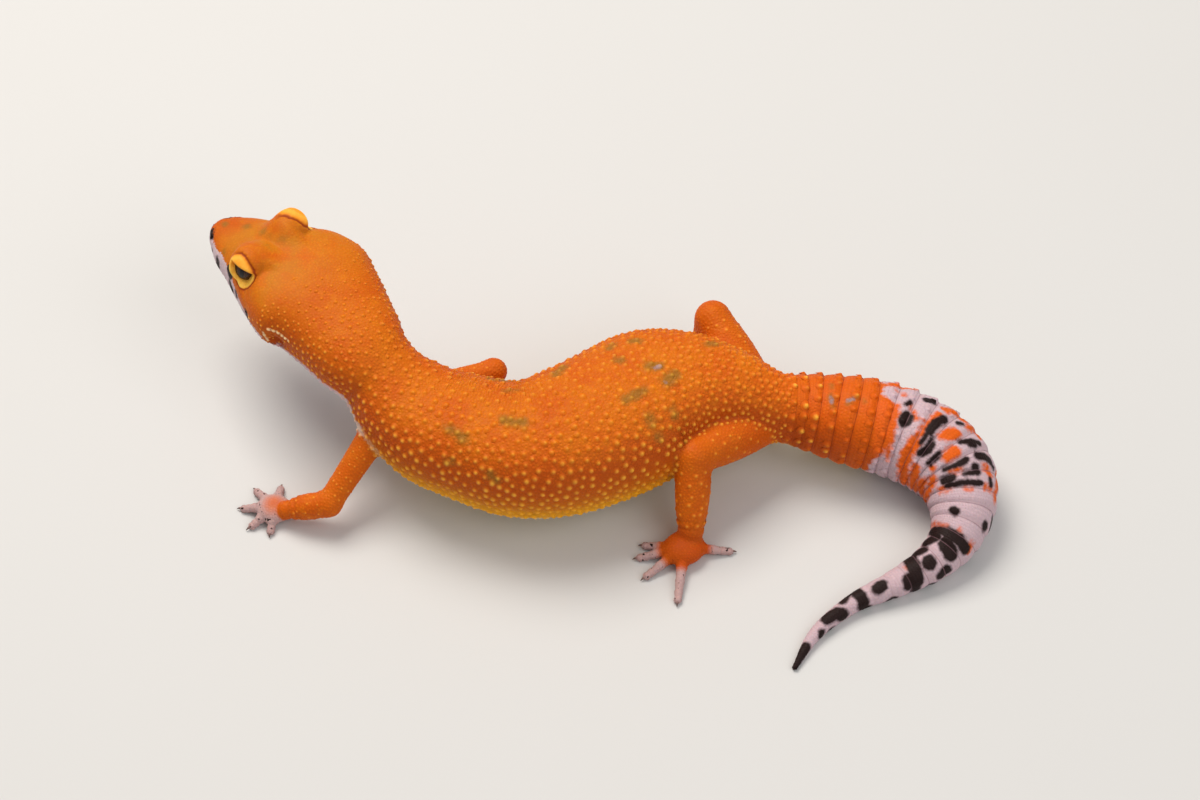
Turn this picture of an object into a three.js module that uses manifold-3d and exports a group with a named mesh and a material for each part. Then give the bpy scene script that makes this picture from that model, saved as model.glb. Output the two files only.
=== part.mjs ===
// Adult leopard gecko (Eublepharis macularius) at life size, standing with its body in an S.
// Units are millimetres and +Z is up. The snout points to -X, turned a little to +Y, and the tail is at +X.
// The animal's left side faces -Y. The group is set down with the centre of its base at the origin.
import * as THREE from "three";
import { mergeVertices } from "three/addons/utils/BufferGeometryUtils.js";
import Module from "manifold-3d";

const wasm = await Module();
wasm.setup();

// ---------------------------------------------------------------- driving dimensions

const GAP = 0.3; // clearance left between neighbouring sub-parts
const SLIVER = 0.05; // facets thinner than this are merged into their neighbours
const SOLE_DEPTH = 0.35; // how much of a sole or of the tail's underside is flattened by the ground
const SNOUT_TIP = new THREE.Vector3(-70.4, 20.9, 24.9);
const HEAD_YAW = THREE.MathUtils.degToRad(140.5); // heading of the snout, from +X towards +Y
const HEAD_PITCH = THREE.MathUtils.degToRad(0); // below zero: the snout dips

// Head sections: distance back from the snout tip, half width, height over the axis, depth under it.
const HEAD_SECTIONS = [
  [0.0, 1.3, 1.2, 1.4],
  [0.9, 2.6, 2.2, 2.3],
  [2.8, 4.0, 2.9, 3.1],
  [5.8, 5.9, 3.8, 3.8],
  [9.4, 7.3, 5.0, 4.4],
  [13.2, 9.1, 6.1, 5.0],
  [17.0, 10.8, 6.8, 5.6],
  [20.8, 12.2, 7.1, 6.2],
  [24.6, 12.7, 7.2, 6.8],
  [28.6, 11.3, 7.1, 7.4],
  [32.6, 10.3, 6.9, 8.2],
];

// Neck, trunk and tail stations: name, centre x, y, z, half width, height over the centre, depth under it.
const BODY_STATIONS = [
  ["nape", -42.7, -6.6, 23.1, 9.1, 6.9, 8.3],
  ["neck", -39.5, -9.5, 20.6, 7.8, 7.3, 8.3],
  ["shoulders", -35.4, -13.3, 17.8, 9.5, 8.1, 8.6],
  ["chest", -29.5, -17.2, 15.6, 11.1, 9.4, 9.6],
  ["ribs", -22.1, -19.8, 14.7, 11.7, 10.2, 10.6],
  ["waist", -14.6, -21.5, 14.3, 12.6, 10.8, 11.2],
  ["belly", -6.9, -20.1, 14.1, 13.6, 11.2, 11.5],
  ["flank", 1.3, -16.1, 14.0, 14.3, 11.3, 11.5],
  ["loin", 9.4, -11.1, 13.9, 14.3, 11.0, 11.2],
  ["groin", 16.8, -9.3, 13.8, 11.7, 10.4, 10.2],
  ["pelvis", 24.1, -9.6, 13.3, 8.3, 9.2, 8.6],
  ["vent", 31.7, -10.8, 12.0, 6.2, 7.2, 6.8],
  ["tail_root", 37.4, -11.0, 11.0, 7.2, 7.1, 6.9],
  ["tail_fat", 45.1, -12.3, 10.2, 8.3, 8.2, 8.1],
  ["tail_full", 52.5, -14.0, 9.4, 8.5, 8.4, 8.4],
  ["bend_start", 59.1, -17.2, 8.6, 8.3, 8.2, 8.3],
  ["bend", 63.5, -22.0, 7.3, 7.6, 7.4, 7.5],
  ["bend_end", 64.7, -28.0, 5.9, 6.3, 6.1, 6.2],
  ["tail_mid", 63.0, -34.1, 4.5, 4.8, 4.6, 4.7],
  ["tail_slim", 58.6, -38.8, 3.3, 3.6, 3.4, 3.5],
  ["tail_taper", 52.1, -42.5, 2.3, 2.6, 2.4, 2.5],
  ["tail_thin", 44.6, -46.2, 1.6, 1.8, 1.7, 1.8],
  ["tail_end", 37.9, -52.1, 1.1, 1.3, 1.2, 1.3],
  ["tail_tip", 33.7, -59.3, 0.5, 0.5, 0.4, 0.6],
];
const SKULL_BEND = { from: 20, drop: 0.006, turn: 0.012 }; // the head's back bends into the neck
const TRUNK_SQUARENESS = 2.25; // superellipse exponent of the trunk, a little boxier than an ellipse
const HEAD_SQUARENESS = 2.45;
const TAIL_SQUARENESS = 2.05;
const WHORL_COUNT = 24; // folds that ring the tail
const WHORL_DEPTH = 0.55; // height of the step at each fold where the tail is fattest
const WHORL_SHARE = 0.72; // share of each whorl over which it swells before it drops to the next

// Where the body is divided, by the station that a cut passes through, and how finely each length is lofted.
const BODY_LENGTHS = [
  { name: "head", from: "snout", to: "skull", rings: 16, sides: 22 },
  { name: "neck", from: "skull", to: "shoulders", rings: 5, sides: 22 },
  { name: "chest", from: "shoulders", to: "waist", rings: 5, sides: 22 },
  { name: "belly", from: "waist", to: "groin", rings: 6, sides: 22 },
  { name: "pelvis", from: "groin", to: "vent", rings: 5, sides: 20 },
  { name: "tail_base", from: "vent", to: "tail_full", whorled: true, sides: 12 },
  { name: "tail_bend", from: "tail_full", to: "tail_mid", whorled: true, sides: 12 },
  { name: "tail_taper", from: "tail_mid", to: "tail_thin", whorled: true, sides: 12 },
  { name: "tail_tip", from: "tail_thin", to: "tail_tip", rings: 5, sides: 8 },
];

// Eyes, in the head's own axes: forward, left, up.
const EYE = { back: 14.1, side: 5.2, up: 5.0, radius: 3.15 };
const LID = { forward: 4.0, outward: 4.0, up: 3.9, lift: 0.1 };
const LID_OPENING = { length: 4.2, middle: -1.0, above: 0.6, below: 2.0, lean: -0.35 }; // lean in radians
const NOSTRIL = { back: 1.9, side: 3.4, up: 1.1, radius: 0.5 };
const EAR = { back: 25.4, side: 12.3, up: -1.6, length: 0.9, height: 1.9, depth: 1.6 };
const MOUTH = { corner: 19.5, front: -0.9, dip: 0.5, hinge: 23.5 };

// Limbs: joint centres, and the radius of the flesh at each joint with the swell of the muscle between them.
const ARM = { shoulder: 3.0, elbow: 2.4, wrist: 1.85, swell: -0.1, foreSwell: 0.45, sides: 10 };
const LEG = { hip: 4.3, knee: 3.3, ankle: 2.5, swell: 0.45, foreSwell: 0.45, sides: 10 };
const LIMBS = [
  {
    side: "left",
    kind: "arm",
    joints: [[-40.2, -18.0, 14.0], [-48.5, -27.5, 5.7], [-56.0, -27.0, 3.1]],
    palm: { at: [-58.6, -25.8, 1.7], radii: [3.3, 2.9, 1.9], heading: 170 },
    toes: [
      { bearing: 82, length: 5.4 },
      { bearing: 128, length: 6.0 },
      { bearing: 172, length: 6.0 },
      { bearing: 217, length: 5.2 },
      { bearing: 262, length: 4.4 },
    ],
  },
  {
    side: "right",
    kind: "arm",
    joints: [[-33.0, -9.4, 14.6], [-19.3, -3.6, 13.4], [-23.6, -0.4, 3.4]],
    palm: { at: [-26.0, 0.8, 1.7], radii: [3.3, 2.9, 1.9], heading: 150 },
    toes: [
      { bearing: 242, length: 4.4 },
      { bearing: 197, length: 5.2 },
      { bearing: 154, length: 6.0 },
      { bearing: 112, length: 6.0 },
      { bearing: 66, length: 5.2 },
    ],
  },
  {
    side: "left",
    kind: "leg",
    joints: [[27.8, -14.6, 11.5], [16.7, -23.8, 15.0], [16.2, -32.2, 4.4]],
    palm: { at: [15.0, -34.6, 2.1], radii: [3.9, 3.5, 2.3], heading: 200 },
    toes: [
      { bearing: 168, length: 7.4 },
      { bearing: 188, length: 8.4 },
      { bearing: 217, length: 8.9 },
      { bearing: 263, length: 10.8 },
      { bearing: 2, length: 8.6 },
    ],
  },
  {
    side: "right",
    kind: "leg",
    joints: [[27.4, -5.4, 11.5], [20.6, 6.2, 16.4], [19.2, 3.4, 4.4]],
    palm: { at: [16.6, 4.4, 2.1], radii: [3.9, 3.5, 2.3], heading: 165 },
    toes: [
      { bearing: 205, length: 7.0 },
      { bearing: 180, length: 8.2 },
      { bearing: 155, length: 8.8 },
      { bearing: 128, length: 9.2 },
      { bearing: 350, length: 7.6 },
    ],
  },
];
const TOE = { root: 1.15, knuckle: 0.95, tip: 0.72, arch: 1.6, rings: 5, sides: 6 };
const CLAW = { length: 1.3, radius: 0.42, tip: 0.25, droop: 0.4 };

// ---------------------------------------------------------------- materials

const material = (color, roughness) => new THREE.MeshStandardMaterial({ color, roughness, metalness: 0 });
const SKIN = material("#e8791c", 0.6);
const FLANK = material("#e0871f", 0.6);
const LIMB = material("#e27a20", 0.6);
const TOES = material("#c3a7a8", 0.6);
const BANDED = material("#d9c6cb", 0.55);
const ORANGE_TAIL = material("#ea5f17", 0.55);
const JAW = material("#e9dbe0", 0.55);
const EYEBALL = material("#2a1b14", 0.1);

// ---------------------------------------------------------------- solids and helpers

// A closed geometry as a manifold-3d solid, with its shared vertices merged.
function solidOf(geometry) {
  const bare = geometry.clone();
  bare.deleteAttribute("normal");
  bare.deleteAttribute("uv");
  const merged = mergeVertices(bare, 1e-4);
  return new wasm.Manifold(
    new wasm.Mesh({
      numProp: 3,
      vertProperties: merged.attributes.position.array,
      triVerts: new Uint32Array(merged.index.array),
    }),
  );
}

// A solid as a named mesh of the part, without the slivers that cuts leave.
function meshOf(name, solid, look) {
  const { vertProperties, triVerts } = solid.simplify(SLIVER).getMesh();
  const geometry = new THREE.BufferGeometry();
  geometry.setAttribute("position", new THREE.BufferAttribute(vertProperties, 3));
  geometry.setIndex(new THREE.BufferAttribute(triVerts, 1));
  geometry.computeVertexNormals();
  const mesh = new THREE.Mesh(geometry, look);
  mesh.name = name;
  return mesh;
}

const vector = ([x, y, z]) => new THREE.Vector3(x, y, z);
const signedPower = (x, p) => Math.sign(x) * Math.abs(x) ** p;
const joined = (solids) => solids.reduce((whole, next) => whole.add(next));

// The half-space over the ground, as a large box.
const GROUND_SPAN = 400;
const overGround = solidOf(
  new THREE.BoxGeometry(GROUND_SPAN, GROUND_SPAN, GROUND_SPAN).translate(0, 0, GROUND_SPAN / 2),
);

// Joins rings of points, each with the same count, into a closed skin with a flat cap at each end.
function loft(rings) {
  const sides = rings[0].length;
  const points = rings.flat();
  const start = points.length;
  const centre = (ring) => ring.reduce((sum, p) => sum.add(p), new THREE.Vector3()).divideScalar(sides);
  points.push(centre(rings[0]), centre(rings[rings.length - 1]));
  const faces = [];
  for (let i = 0; i < rings.length - 1; i++) {
    for (let j = 0; j < sides; j++) {
      const a = i * sides + j;
      const b = i * sides + ((j + 1) % sides);
      faces.push(a, a + sides, b, b, a + sides, b + sides);
    }
  }
  const last = (rings.length - 1) * sides;
  for (let j = 0; j < sides; j++) {
    const next = (j + 1) % sides;
    faces.push(start, j, next, start + 1, last + next, last + j);
  }
  const geometry = new THREE.BufferGeometry();
  geometry.setAttribute("position", new THREE.Float32BufferAttribute(points.flatMap((p) => p.toArray()), 3));
  geometry.setIndex(faces);
  return solidOf(geometry);
}

// A bone-shaped round solid from a to b: a ball at each end and a swelling between them.
function limbSegment(a, b, radiusA, radiusB, swell, sides, grow = 0) {
  const length = a.distanceTo(b);
  const profile = [];
  const arcSteps = 3;
  const middleSteps = 4;
  const ra = radiusA + grow;
  const rb = radiusB + grow;
  for (let i = 0; i <= arcSteps; i++) {
    const angle = (Math.PI / 2) * (i / arcSteps);
    profile.push(new THREE.Vector2(ra * Math.sin(angle), -ra * Math.cos(angle)));
  }
  for (let i = 1; i < middleSteps; i++) {
    const t = i / middleSteps;
    const radius = THREE.MathUtils.lerp(ra, rb, t) + swell * Math.sin(Math.PI * t);
    profile.push(new THREE.Vector2(radius, length * t));
  }
  for (let i = 0; i <= arcSteps; i++) {
    const angle = (Math.PI / 2) * (i / arcSteps);
    profile.push(new THREE.Vector2(rb * Math.cos(angle), length + rb * Math.sin(angle)));
  }
  profile[0].x = 0;
  profile[profile.length - 1].x = 0;
  const turn = new THREE.Quaternion().setFromUnitVectors(
    new THREE.Vector3(0, 1, 0),
    b.clone().sub(a).normalize(),
  );
  const geometry = new THREE.LatheGeometry(profile, sides).applyQuaternion(turn).translate(a.x, a.y, a.z);
  return solidOf(geometry);
}

// An ellipsoid with its own axes, as a solid.
function ellipsoid(radii, matrix, widthSegments = 16, heightSegments = 8) {
  const geometry = new THREE.SphereGeometry(1, widthSegments, heightSegments).scale(...radii);
  return solidOf(geometry.applyMatrix4(matrix));
}

// ---------------------------------------------------------------- body path

const heading = new THREE.Vector3(
  Math.cos(HEAD_YAW) * Math.cos(HEAD_PITCH),
  Math.sin(HEAD_YAW) * Math.cos(HEAD_PITCH),
  Math.sin(HEAD_PITCH),
);
const headLeft = new THREE.Vector3(0, 0, 1).cross(heading).normalize();
const headUp = heading.clone().cross(headLeft);

// A point of the head, by its distance back from the snout, to the left and up.
const headPoint = (back, side, up) =>
  SNOUT_TIP.clone()
    .addScaledVector(heading, -back)
    .addScaledVector(headLeft, side)
    .addScaledVector(headUp, up);

// The middle of the head at a distance back from the snout.
function headAxisPoint(back) {
  const bend = Math.max(0, back - SKULL_BEND.from) ** 2;
  return headPoint(back, SKULL_BEND.turn * bend, -SKULL_BEND.drop * bend);
}

// The head's axes at such a point: X forward, Y towards the given side, Z up.
function headAxes(back, side, up) {
  const outward = headLeft.clone().multiplyScalar(Math.sign(side) || 1);
  const upward = headUp.clone();
  return new THREE.Matrix4().makeBasis(heading, outward, upward).setPosition(headPoint(back, side, up));
}

const stations = [
  ...HEAD_SECTIONS.map(([back, half, top, bottom], i) => ({
    name: i === 0 ? "snout" : i === HEAD_SECTIONS.length - 1 ? "skull" : `head_${i}`,
    at: headAxisPoint(back),
    size: new THREE.Vector3(half, top, bottom),
    squareness: HEAD_SQUARENESS,
  })),
  ...BODY_STATIONS.map(([name, x, y, z, half, top, bottom]) => ({
    name,
    at: new THREE.Vector3(x, y, z),
    size: new THREE.Vector3(half, top, bottom),
    squareness: x > 30 && z < 12.5 ? TAIL_SQUARENESS : TRUNK_SQUARENESS,
  })),
];
const stationIndex = (name) => stations.findIndex((station) => station.name === name);
const throughStations = (pick) => new THREE.CatmullRomCurve3(stations.map(pick), false, "catmullrom", 0.5);
const centreLine = throughStations((station) => station.at);
const sizes = throughStations((station) => station.size);
const TAIL_START = stationIndex("vent");
const TAIL_STOP = stationIndex("tail_thin");

// The frame and section of the body at a station number, which need not be whole.
function bodyAt(place) {
  const t = THREE.MathUtils.clamp(place / (stations.length - 1), 0, 1);
  const tangent = centreLine.getTangent(t);
  const left = tangent.clone().cross(new THREE.Vector3(0, 0, 1)).normalize();
  const up = left.clone().cross(tangent).normalize();
  const low = stations[Math.min(Math.floor(place), stations.length - 1)];
  const high = stations[Math.min(Math.floor(place) + 1, stations.length - 1)];
  const squareness = THREE.MathUtils.lerp(low.squareness, high.squareness, place - Math.floor(place));
  return { centre: centreLine.getPoint(t), size: sizes.getPoint(t), tangent, left, up, squareness };
}

// One ring of the body, grown outwards and moved along the path by the given distances.
function bodyRing(place, sides, grow = 0, shift = 0) {
  const { centre, size, tangent, left, up, squareness } = bodyAt(place);
  centre.addScaledVector(tangent, shift);
  const ring = [];
  for (let j = 0; j < sides; j++) {
    const angle = (2 * Math.PI * j) / sides;
    const across = (size.x + grow) * signedPower(Math.cos(angle), 2 / squareness);
    const height = Math.sin(angle) > 0 ? size.y : size.z;
    const rise = (height + grow) * signedPower(Math.sin(angle), 2 / squareness);
    ring.push(centre.clone().addScaledVector(left, across).addScaledVector(up, rise));
  }
  return ring;
}

// The body between two places, as plain rings, with half a gap left at the ends that meet a neighbour.
function bodyLength(from, to, rings, sides, grow = 0) {
  const made = [];
  for (let i = 0; i <= rings; i++) {
    const place = THREE.MathUtils.lerp(from, to, i / rings);
    made.push(bodyRing(place, sides, grow, endShift(place, from, to)));
  }
  return loft(made);
}

// The move along the path that leaves half a gap at a cut, and none at the snout or at the tail's tip.
function endShift(place, from, to) {
  if (place === from && from > 0) return GAP / 2;
  if (place === to && to < stations.length - 1) return -GAP / 2;
  return 0;
}

// The tail between two places: each whorl swells backwards and then steps down to the next.
function whorledLength(from, to, sides) {
  const whorl = (TAIL_STOP - TAIL_START) / WHORL_COUNT;
  const first = Math.ceil((from - TAIL_START) / whorl - 1e-6);
  const depthAt = (place) => (WHORL_DEPTH * bodyAt(place).size.x) / 8.8;
  const places = [[from, 0]];
  for (let k = first; TAIL_START + k * whorl < to - 0.3 * whorl; k++) {
    const root = TAIL_START + k * whorl;
    const crest = root + WHORL_SHARE * whorl;
    if (root > from + 0.25 * whorl) places.push([root, -0.5 * depthAt(root)]);
    if (crest > from + 0.25 * whorl && crest < to - 0.1 * whorl) places.push([crest, 0.5 * depthAt(crest)]);
  }
  places.push([to, 0]);
  return loft(places.map(([place, step]) => bodyRing(place, sides, step, endShift(place, from, to))));
}

// ---------------------------------------------------------------- head

// A lens-shaped plug that opens the lids, pointing outward from the eyeball's middle.
function lidOpening(side) {
  const { length, middle, above, below } = LID_OPENING;
  const front = middle + length / 2;
  const rear = middle - length / 2;
  const outline = new THREE.Shape();
  outline.moveTo(front, above);
  outline.quadraticCurveTo(middle, above * 1.2, rear, 0.1);
  outline.quadraticCurveTo(middle, -2 * below, front, above);
  const geometry = new THREE.ExtrudeGeometry(outline, { depth: 8, bevelEnabled: false, curveSegments: 5 });
  // The outline's X is forward and its Y up; its depth runs outward and a little up, as the eye looks.
  geometry.rotateX(LID_OPENING.lean);
  const outward = headLeft.clone().multiplyScalar(side);
  const turned = new THREE.Matrix4().makeBasis(heading, headUp, outward);
  turned.setPosition(headPoint(EYE.back, side * EYE.side, EYE.up));
  return placed(solidOf(geometry), turned);
}

// A solid moved by a matrix that may mirror it.
function placed(solid, matrix) {
  return solid.transform(matrix.elements);
}

function eyeball(side, grow = 0) {
  const radius = EYE.radius + grow;
  return ellipsoid([radius, radius, radius], translationTo(headPoint(EYE.back, side * EYE.side, EYE.up)));
}

function translationTo(point) {
  return new THREE.Matrix4().setPosition(point);
}

function lidBulge(side) {
  const axes = headAxes(EYE.back, side * EYE.side, EYE.up + LID.lift);
  return placed(ellipsoid([LID.forward, LID.outward, LID.up], new THREE.Matrix4()), axes);
}

function nostril(side) {
  const axes = headAxes(NOSTRIL.back, side * NOSTRIL.side, NOSTRIL.up);
  const { radius } = NOSTRIL;
  return placed(ellipsoid([radius * 1.3, radius, radius], new THREE.Matrix4(), 6, 4), axes);
}

function earOpening(side) {
  const axes = headAxes(EAR.back, side * EAR.side, EAR.up);
  return placed(ellipsoid([EAR.length, EAR.depth, EAR.height], new THREE.Matrix4(), 10, 6), axes);
}

// A block that holds the lower jaw: under the mouth line, and in front of the jaw's hinge.
function jawBlock(lift, width) {
  const outline = new THREE.Shape();
  const lip = MOUTH.front + lift;
  outline.moveTo(4, lip);
  outline.lineTo(0, lip);
  outline.quadraticCurveTo(-MOUTH.corner * 0.55, lip - 2 * MOUTH.dip, -MOUTH.corner - lift, lip);
  outline.lineTo(-MOUTH.hinge - lift, -12);
  outline.lineTo(4, -12);
  outline.closePath();
  const settings = { depth: width, bevelEnabled: false, curveSegments: 5 };
  const geometry = new THREE.ExtrudeGeometry(outline, settings);
  geometry.translate(0, 0, -width / 2);
  // Outline X is forward and Y is up; the depth runs across the head.
  const across = headLeft.clone().negate();
  const axes = new THREE.Matrix4().makeBasis(heading, headUp, across).setPosition(SNOUT_TIP);
  return solidOf(geometry.applyMatrix4(axes));
}

function headNodes() {
  const { from, to, rings, sides } = BODY_LENGTHS[0];
  const stop = stationIndex(to);
  const start = stationIndex(from);
  let whole = bodyLength(start, stop, rings, sides);
  for (const side of [1, -1]) {
    whole = whole.add(lidBulge(side));
  }
  for (const side of [1, -1]) {
    const socket = eyeball(side, GAP);
    whole = whole.subtract(socket.add(lidOpening(side))).subtract(nostril(side)).subtract(earOpening(side));
  }
  const jaw = whole.intersect(jawBlock(0, 30));
  const skull = whole.subtract(jawBlock(GAP, 32));
  return [
    meshOf("head", skull, SKIN),
    meshOf("lower_jaw", jaw, JAW),
    meshOf("eye_left", eyeball(1), EYEBALL),
    meshOf("eye_right", eyeball(-1), EYEBALL),
  ];
}

// ---------------------------------------------------------------- trunk and tail

const LOOKS = {
  neck: SKIN,
  chest: FLANK,
  belly: FLANK,
  pelvis: SKIN,
  tail_base: ORANGE_TAIL,
  tail_bend: BANDED,
  tail_taper: BANDED,
  tail_tip: BANDED,
};

function trunkAndTail() {
  return BODY_LENGTHS.slice(1).map(({ name, from, to, rings, sides, whorled }) => {
    const start = stationIndex(from);
    const stop = stationIndex(to);
    const length = whorled ? whorledLength(start, stop, sides) : bodyLength(start, stop, rings, sides);
    return meshOf(name, length.intersect(overGround), LOOKS[name]);
  });
}

// ---------------------------------------------------------------- limbs

// The trunk that limbs are cut back from, grown by the gap.
const trunkGrown = bodyLength(
  stationIndex("skull"),
  stationIndex("tail_fat"),
  40,
  26,
  GAP,
);

// A round solid along a smooth path, with a radius at each of the points it passes through.
function tube(points, radii, rings, sides) {
  const path = new THREE.CatmullRomCurve3(points, false, "catmullrom", 0.5);
  const girth = new THREE.SplineCurve(radii.map((radius, i) => new THREE.Vector2(i, radius)));
  const made = [];
  for (let i = 0; i <= rings; i++) {
    const t = i / rings;
    const centre = path.getPoint(t);
    const tangent = path.getTangent(t);
    const left = tangent.clone().cross(new THREE.Vector3(0, 0, 1)).normalize();
    const up = left.clone().cross(tangent).normalize();
    const radius = girth.getPoint(t).y;
    const ring = [];
    for (let j = 0; j < sides; j++) {
      const angle = (2 * Math.PI * j) / sides;
      const across = radius * Math.cos(angle);
      ring.push(centre.clone().addScaledVector(left, across).addScaledVector(up, radius * Math.sin(angle)));
    }
    made.push(ring);
  }
  return loft(made);
}

// One toe on the ground: out along its bearing over a raised knuckle, down to the pad, and on into a claw.
function toe(palm, bearing, length) {
  const angle = THREE.MathUtils.degToRad(bearing);
  const along = new THREE.Vector3(Math.cos(angle), Math.sin(angle), 0);
  const reach = (distance, height) => vector(palm.at).setZ(height).addScaledVector(along, distance);
  const tipHeight = TOE.tip - SOLE_DEPTH / 2;
  const points = [
    reach(Math.min(...palm.radii) * 0.4, TOE.arch),
    reach(length * 0.45, TOE.arch * 0.95),
    reach(length * 0.75, tipHeight + 0.35),
    reach(length * 0.94, tipHeight),
    reach(length + 0.15, tipHeight + 0.1),
    reach(length + CLAW.length, CLAW.droop),
  ];
  const radii = [TOE.root, TOE.knuckle, TOE.tip * 1.05, TOE.tip, CLAW.radius, CLAW.tip];
  return tube(points, radii, TOE.rings, TOE.sides);
}

function limbNodes({ side, kind, joints, palm, toes }) {
  const [a, b, c] = joints.map(vector);
  const arm = kind === "arm";
  const girth = arm ? [ARM.shoulder, ARM.elbow, ARM.wrist] : [LEG.hip, LEG.knee, LEG.ankle];
  const { swell, foreSwell, sides } = arm ? ARM : LEG;
  const names = arm ? ["upper_arm", "forearm", "hand"] : ["thigh", "shin", "foot"];
  const upper = (grow) => limbSegment(a, b, girth[0], girth[1], swell, sides, grow);
  const lower = (grow) => limbSegment(b, c, girth[1] * 0.97, girth[2], foreSwell, sides, grow);
  const turn = new THREE.Matrix4().makeRotationZ(THREE.MathUtils.degToRad(palm.heading));
  const sole = ellipsoid(palm.radii, turn.setPosition(vector(palm.at)), 10, 6);
  const paw = joined([sole, ...toes.map(({ bearing, length }) => toe(palm, bearing, length))]);
  const shank = lower(0).subtract(upper(GAP)).subtract(trunkGrown);
  return [
    meshOf(`${names[0]}_${side}`, upper(0).subtract(trunkGrown), LIMB),
    meshOf(`${names[1]}_${side}`, shank.intersect(overGround), LIMB),
    meshOf(`${names[2]}_${side}`, paw.subtract(lower(GAP)).intersect(overGround), TOES),
  ];
}

// ---------------------------------------------------------------- assembly

const gecko = new THREE.Group();
gecko.add(...headNodes(), ...trunkAndTail(), ...LIMBS.flatMap(limbNodes));

// The centre of the base goes to the origin.
const box = new THREE.Box3().setFromObject(gecko);
const middle = box.getCenter(new THREE.Vector3());
gecko.position.set(-middle.x, -middle.y, -box.min.z);

export default gecko;
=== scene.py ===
"""Leopard gecko at life size: one skin over the CAD frame, a coat of raised scales, eyes and claws."""

import logging
import math
from dataclasses import dataclass, field
from enum import Enum

import bpy
import numpy as np
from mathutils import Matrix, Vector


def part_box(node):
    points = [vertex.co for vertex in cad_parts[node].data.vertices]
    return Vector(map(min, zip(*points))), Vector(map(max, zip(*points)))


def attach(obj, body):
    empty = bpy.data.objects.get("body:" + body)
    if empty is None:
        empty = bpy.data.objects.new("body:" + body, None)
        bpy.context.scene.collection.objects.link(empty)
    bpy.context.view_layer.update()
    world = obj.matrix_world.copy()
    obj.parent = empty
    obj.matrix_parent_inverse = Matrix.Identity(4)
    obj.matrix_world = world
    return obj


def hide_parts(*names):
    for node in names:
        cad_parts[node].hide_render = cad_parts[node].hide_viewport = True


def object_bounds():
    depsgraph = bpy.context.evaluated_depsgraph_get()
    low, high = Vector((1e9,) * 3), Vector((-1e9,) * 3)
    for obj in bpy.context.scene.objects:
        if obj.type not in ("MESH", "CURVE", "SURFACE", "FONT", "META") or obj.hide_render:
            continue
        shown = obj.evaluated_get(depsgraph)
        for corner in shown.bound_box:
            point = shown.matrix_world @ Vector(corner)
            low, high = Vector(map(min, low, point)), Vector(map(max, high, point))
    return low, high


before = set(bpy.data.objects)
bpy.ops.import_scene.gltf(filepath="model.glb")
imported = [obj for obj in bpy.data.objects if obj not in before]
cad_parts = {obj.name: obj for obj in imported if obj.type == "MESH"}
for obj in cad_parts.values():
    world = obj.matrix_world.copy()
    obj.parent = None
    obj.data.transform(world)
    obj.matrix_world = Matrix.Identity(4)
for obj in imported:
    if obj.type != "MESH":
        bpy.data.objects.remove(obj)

CAD_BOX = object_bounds()
MM = 0.001
SEED = 20
log = logging.getLogger("gecko")
Array = np.ndarray

# Where parts of the animal end, in millimetres along the body from the snout.
HEAD_END = 33.0
HEAD_COAT_END = 36.0
NECK_END = 58.0
TRUNK_END = 124.0
ORANGE_END = 146.0


# ---------------------------------------------------------------- small helpers


def soft_min(a: Array, b: Array, reach: float) -> Array:
    """Joins two distance fields with a fillet.

    Args:
        a: Distances to the first form.
        b: Distances to the second form.
        reach: Width of the fillet in millimetres.

    Returns:
        Distances to both forms together.
    """
    share = np.clip(0.5 + 0.5 * (b - a) / reach, 0.0, 1.0)
    return b + (a - b) * share - reach * share * (1.0 - share)


def soft_max(a: Array, b: Array, reach: float) -> Array:
    """Cuts one distance field with another, with a rounded edge."""
    return -soft_min(-a, -b, reach)


def ramp(value: Array, low: float, high: float) -> Array:
    """Rises smoothly from 0 at low to 1 at high."""
    t = np.clip((value - low) / (high - low), 0.0, 1.0)
    return t * t * (3.0 - 2.0 * t)


def ridge(distance: Array, width: float) -> Array:
    """A rounded ridge profile: 1 at no distance, falling away over the width."""
    return np.exp(-((distance / width) ** 2))


def unit(vectors: Array) -> Array:
    """Scales rows to length 1."""
    return vectors / np.maximum(np.linalg.norm(vectors, axis=-1, keepdims=True), 1e-9)


def through(points: Array, t: Array) -> tuple[Array, Array]:
    """A smooth curve through points, one unit of t from each point to the next.

    Args:
        points: The points, one row each.
        t: Places along the curve.

    Returns:
        The curve's values and its derivatives.
    """
    last = len(points) - 1
    i = np.clip(np.floor(t).astype(int), 0, last - 1)
    f = (t - i)[:, None]
    padded = np.vstack([2 * points[0] - points[1], points, 2 * points[-1] - points[-2]])
    p0, p1, p2, p3 = padded[i], padded[i + 1], padded[i + 2], padded[i + 3]
    v0, v1 = (p2 - p0) / 2, (p3 - p1) / 2
    a, b = 2 * p1 - 2 * p2 + v0 + v1, -3 * p1 + 3 * p2 - 2 * v0 - v1
    return ((a * f + b) * f + v0) * f + p1, (3 * a * f + 2 * b) * f + v0


def inside_gap(outline: Array, x: Array, y: Array) -> Array:
    """Distance from points to a closed outline, below zero inside it.

    Args:
        outline: The outline's corners, one row each.
        x: The points' first coordinates.
        y: The points' second coordinates.

    Returns:
        One distance for each point.
    """
    best = np.full(len(x), 1e6)
    odd = np.zeros(len(x), bool)
    for (ax, ay), (bx, by) in zip(outline, np.roll(outline, -1, axis=0)):
        dx, dy = bx - ax, by - ay
        t = np.clip(((x - ax) * dx + (y - ay) * dy) / (dx * dx + dy * dy), 0.0, 1.0)
        best = np.minimum(best, (x - ax - t * dx) ** 2 + (y - ay - t * dy) ** 2)
        odd ^= ((ay > y) != (by > y)) & (x < ax + (y - ay) * dx / (dy if dy else 1e-9))
    return np.where(odd, -1.0, 1.0) * np.sqrt(best)


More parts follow.
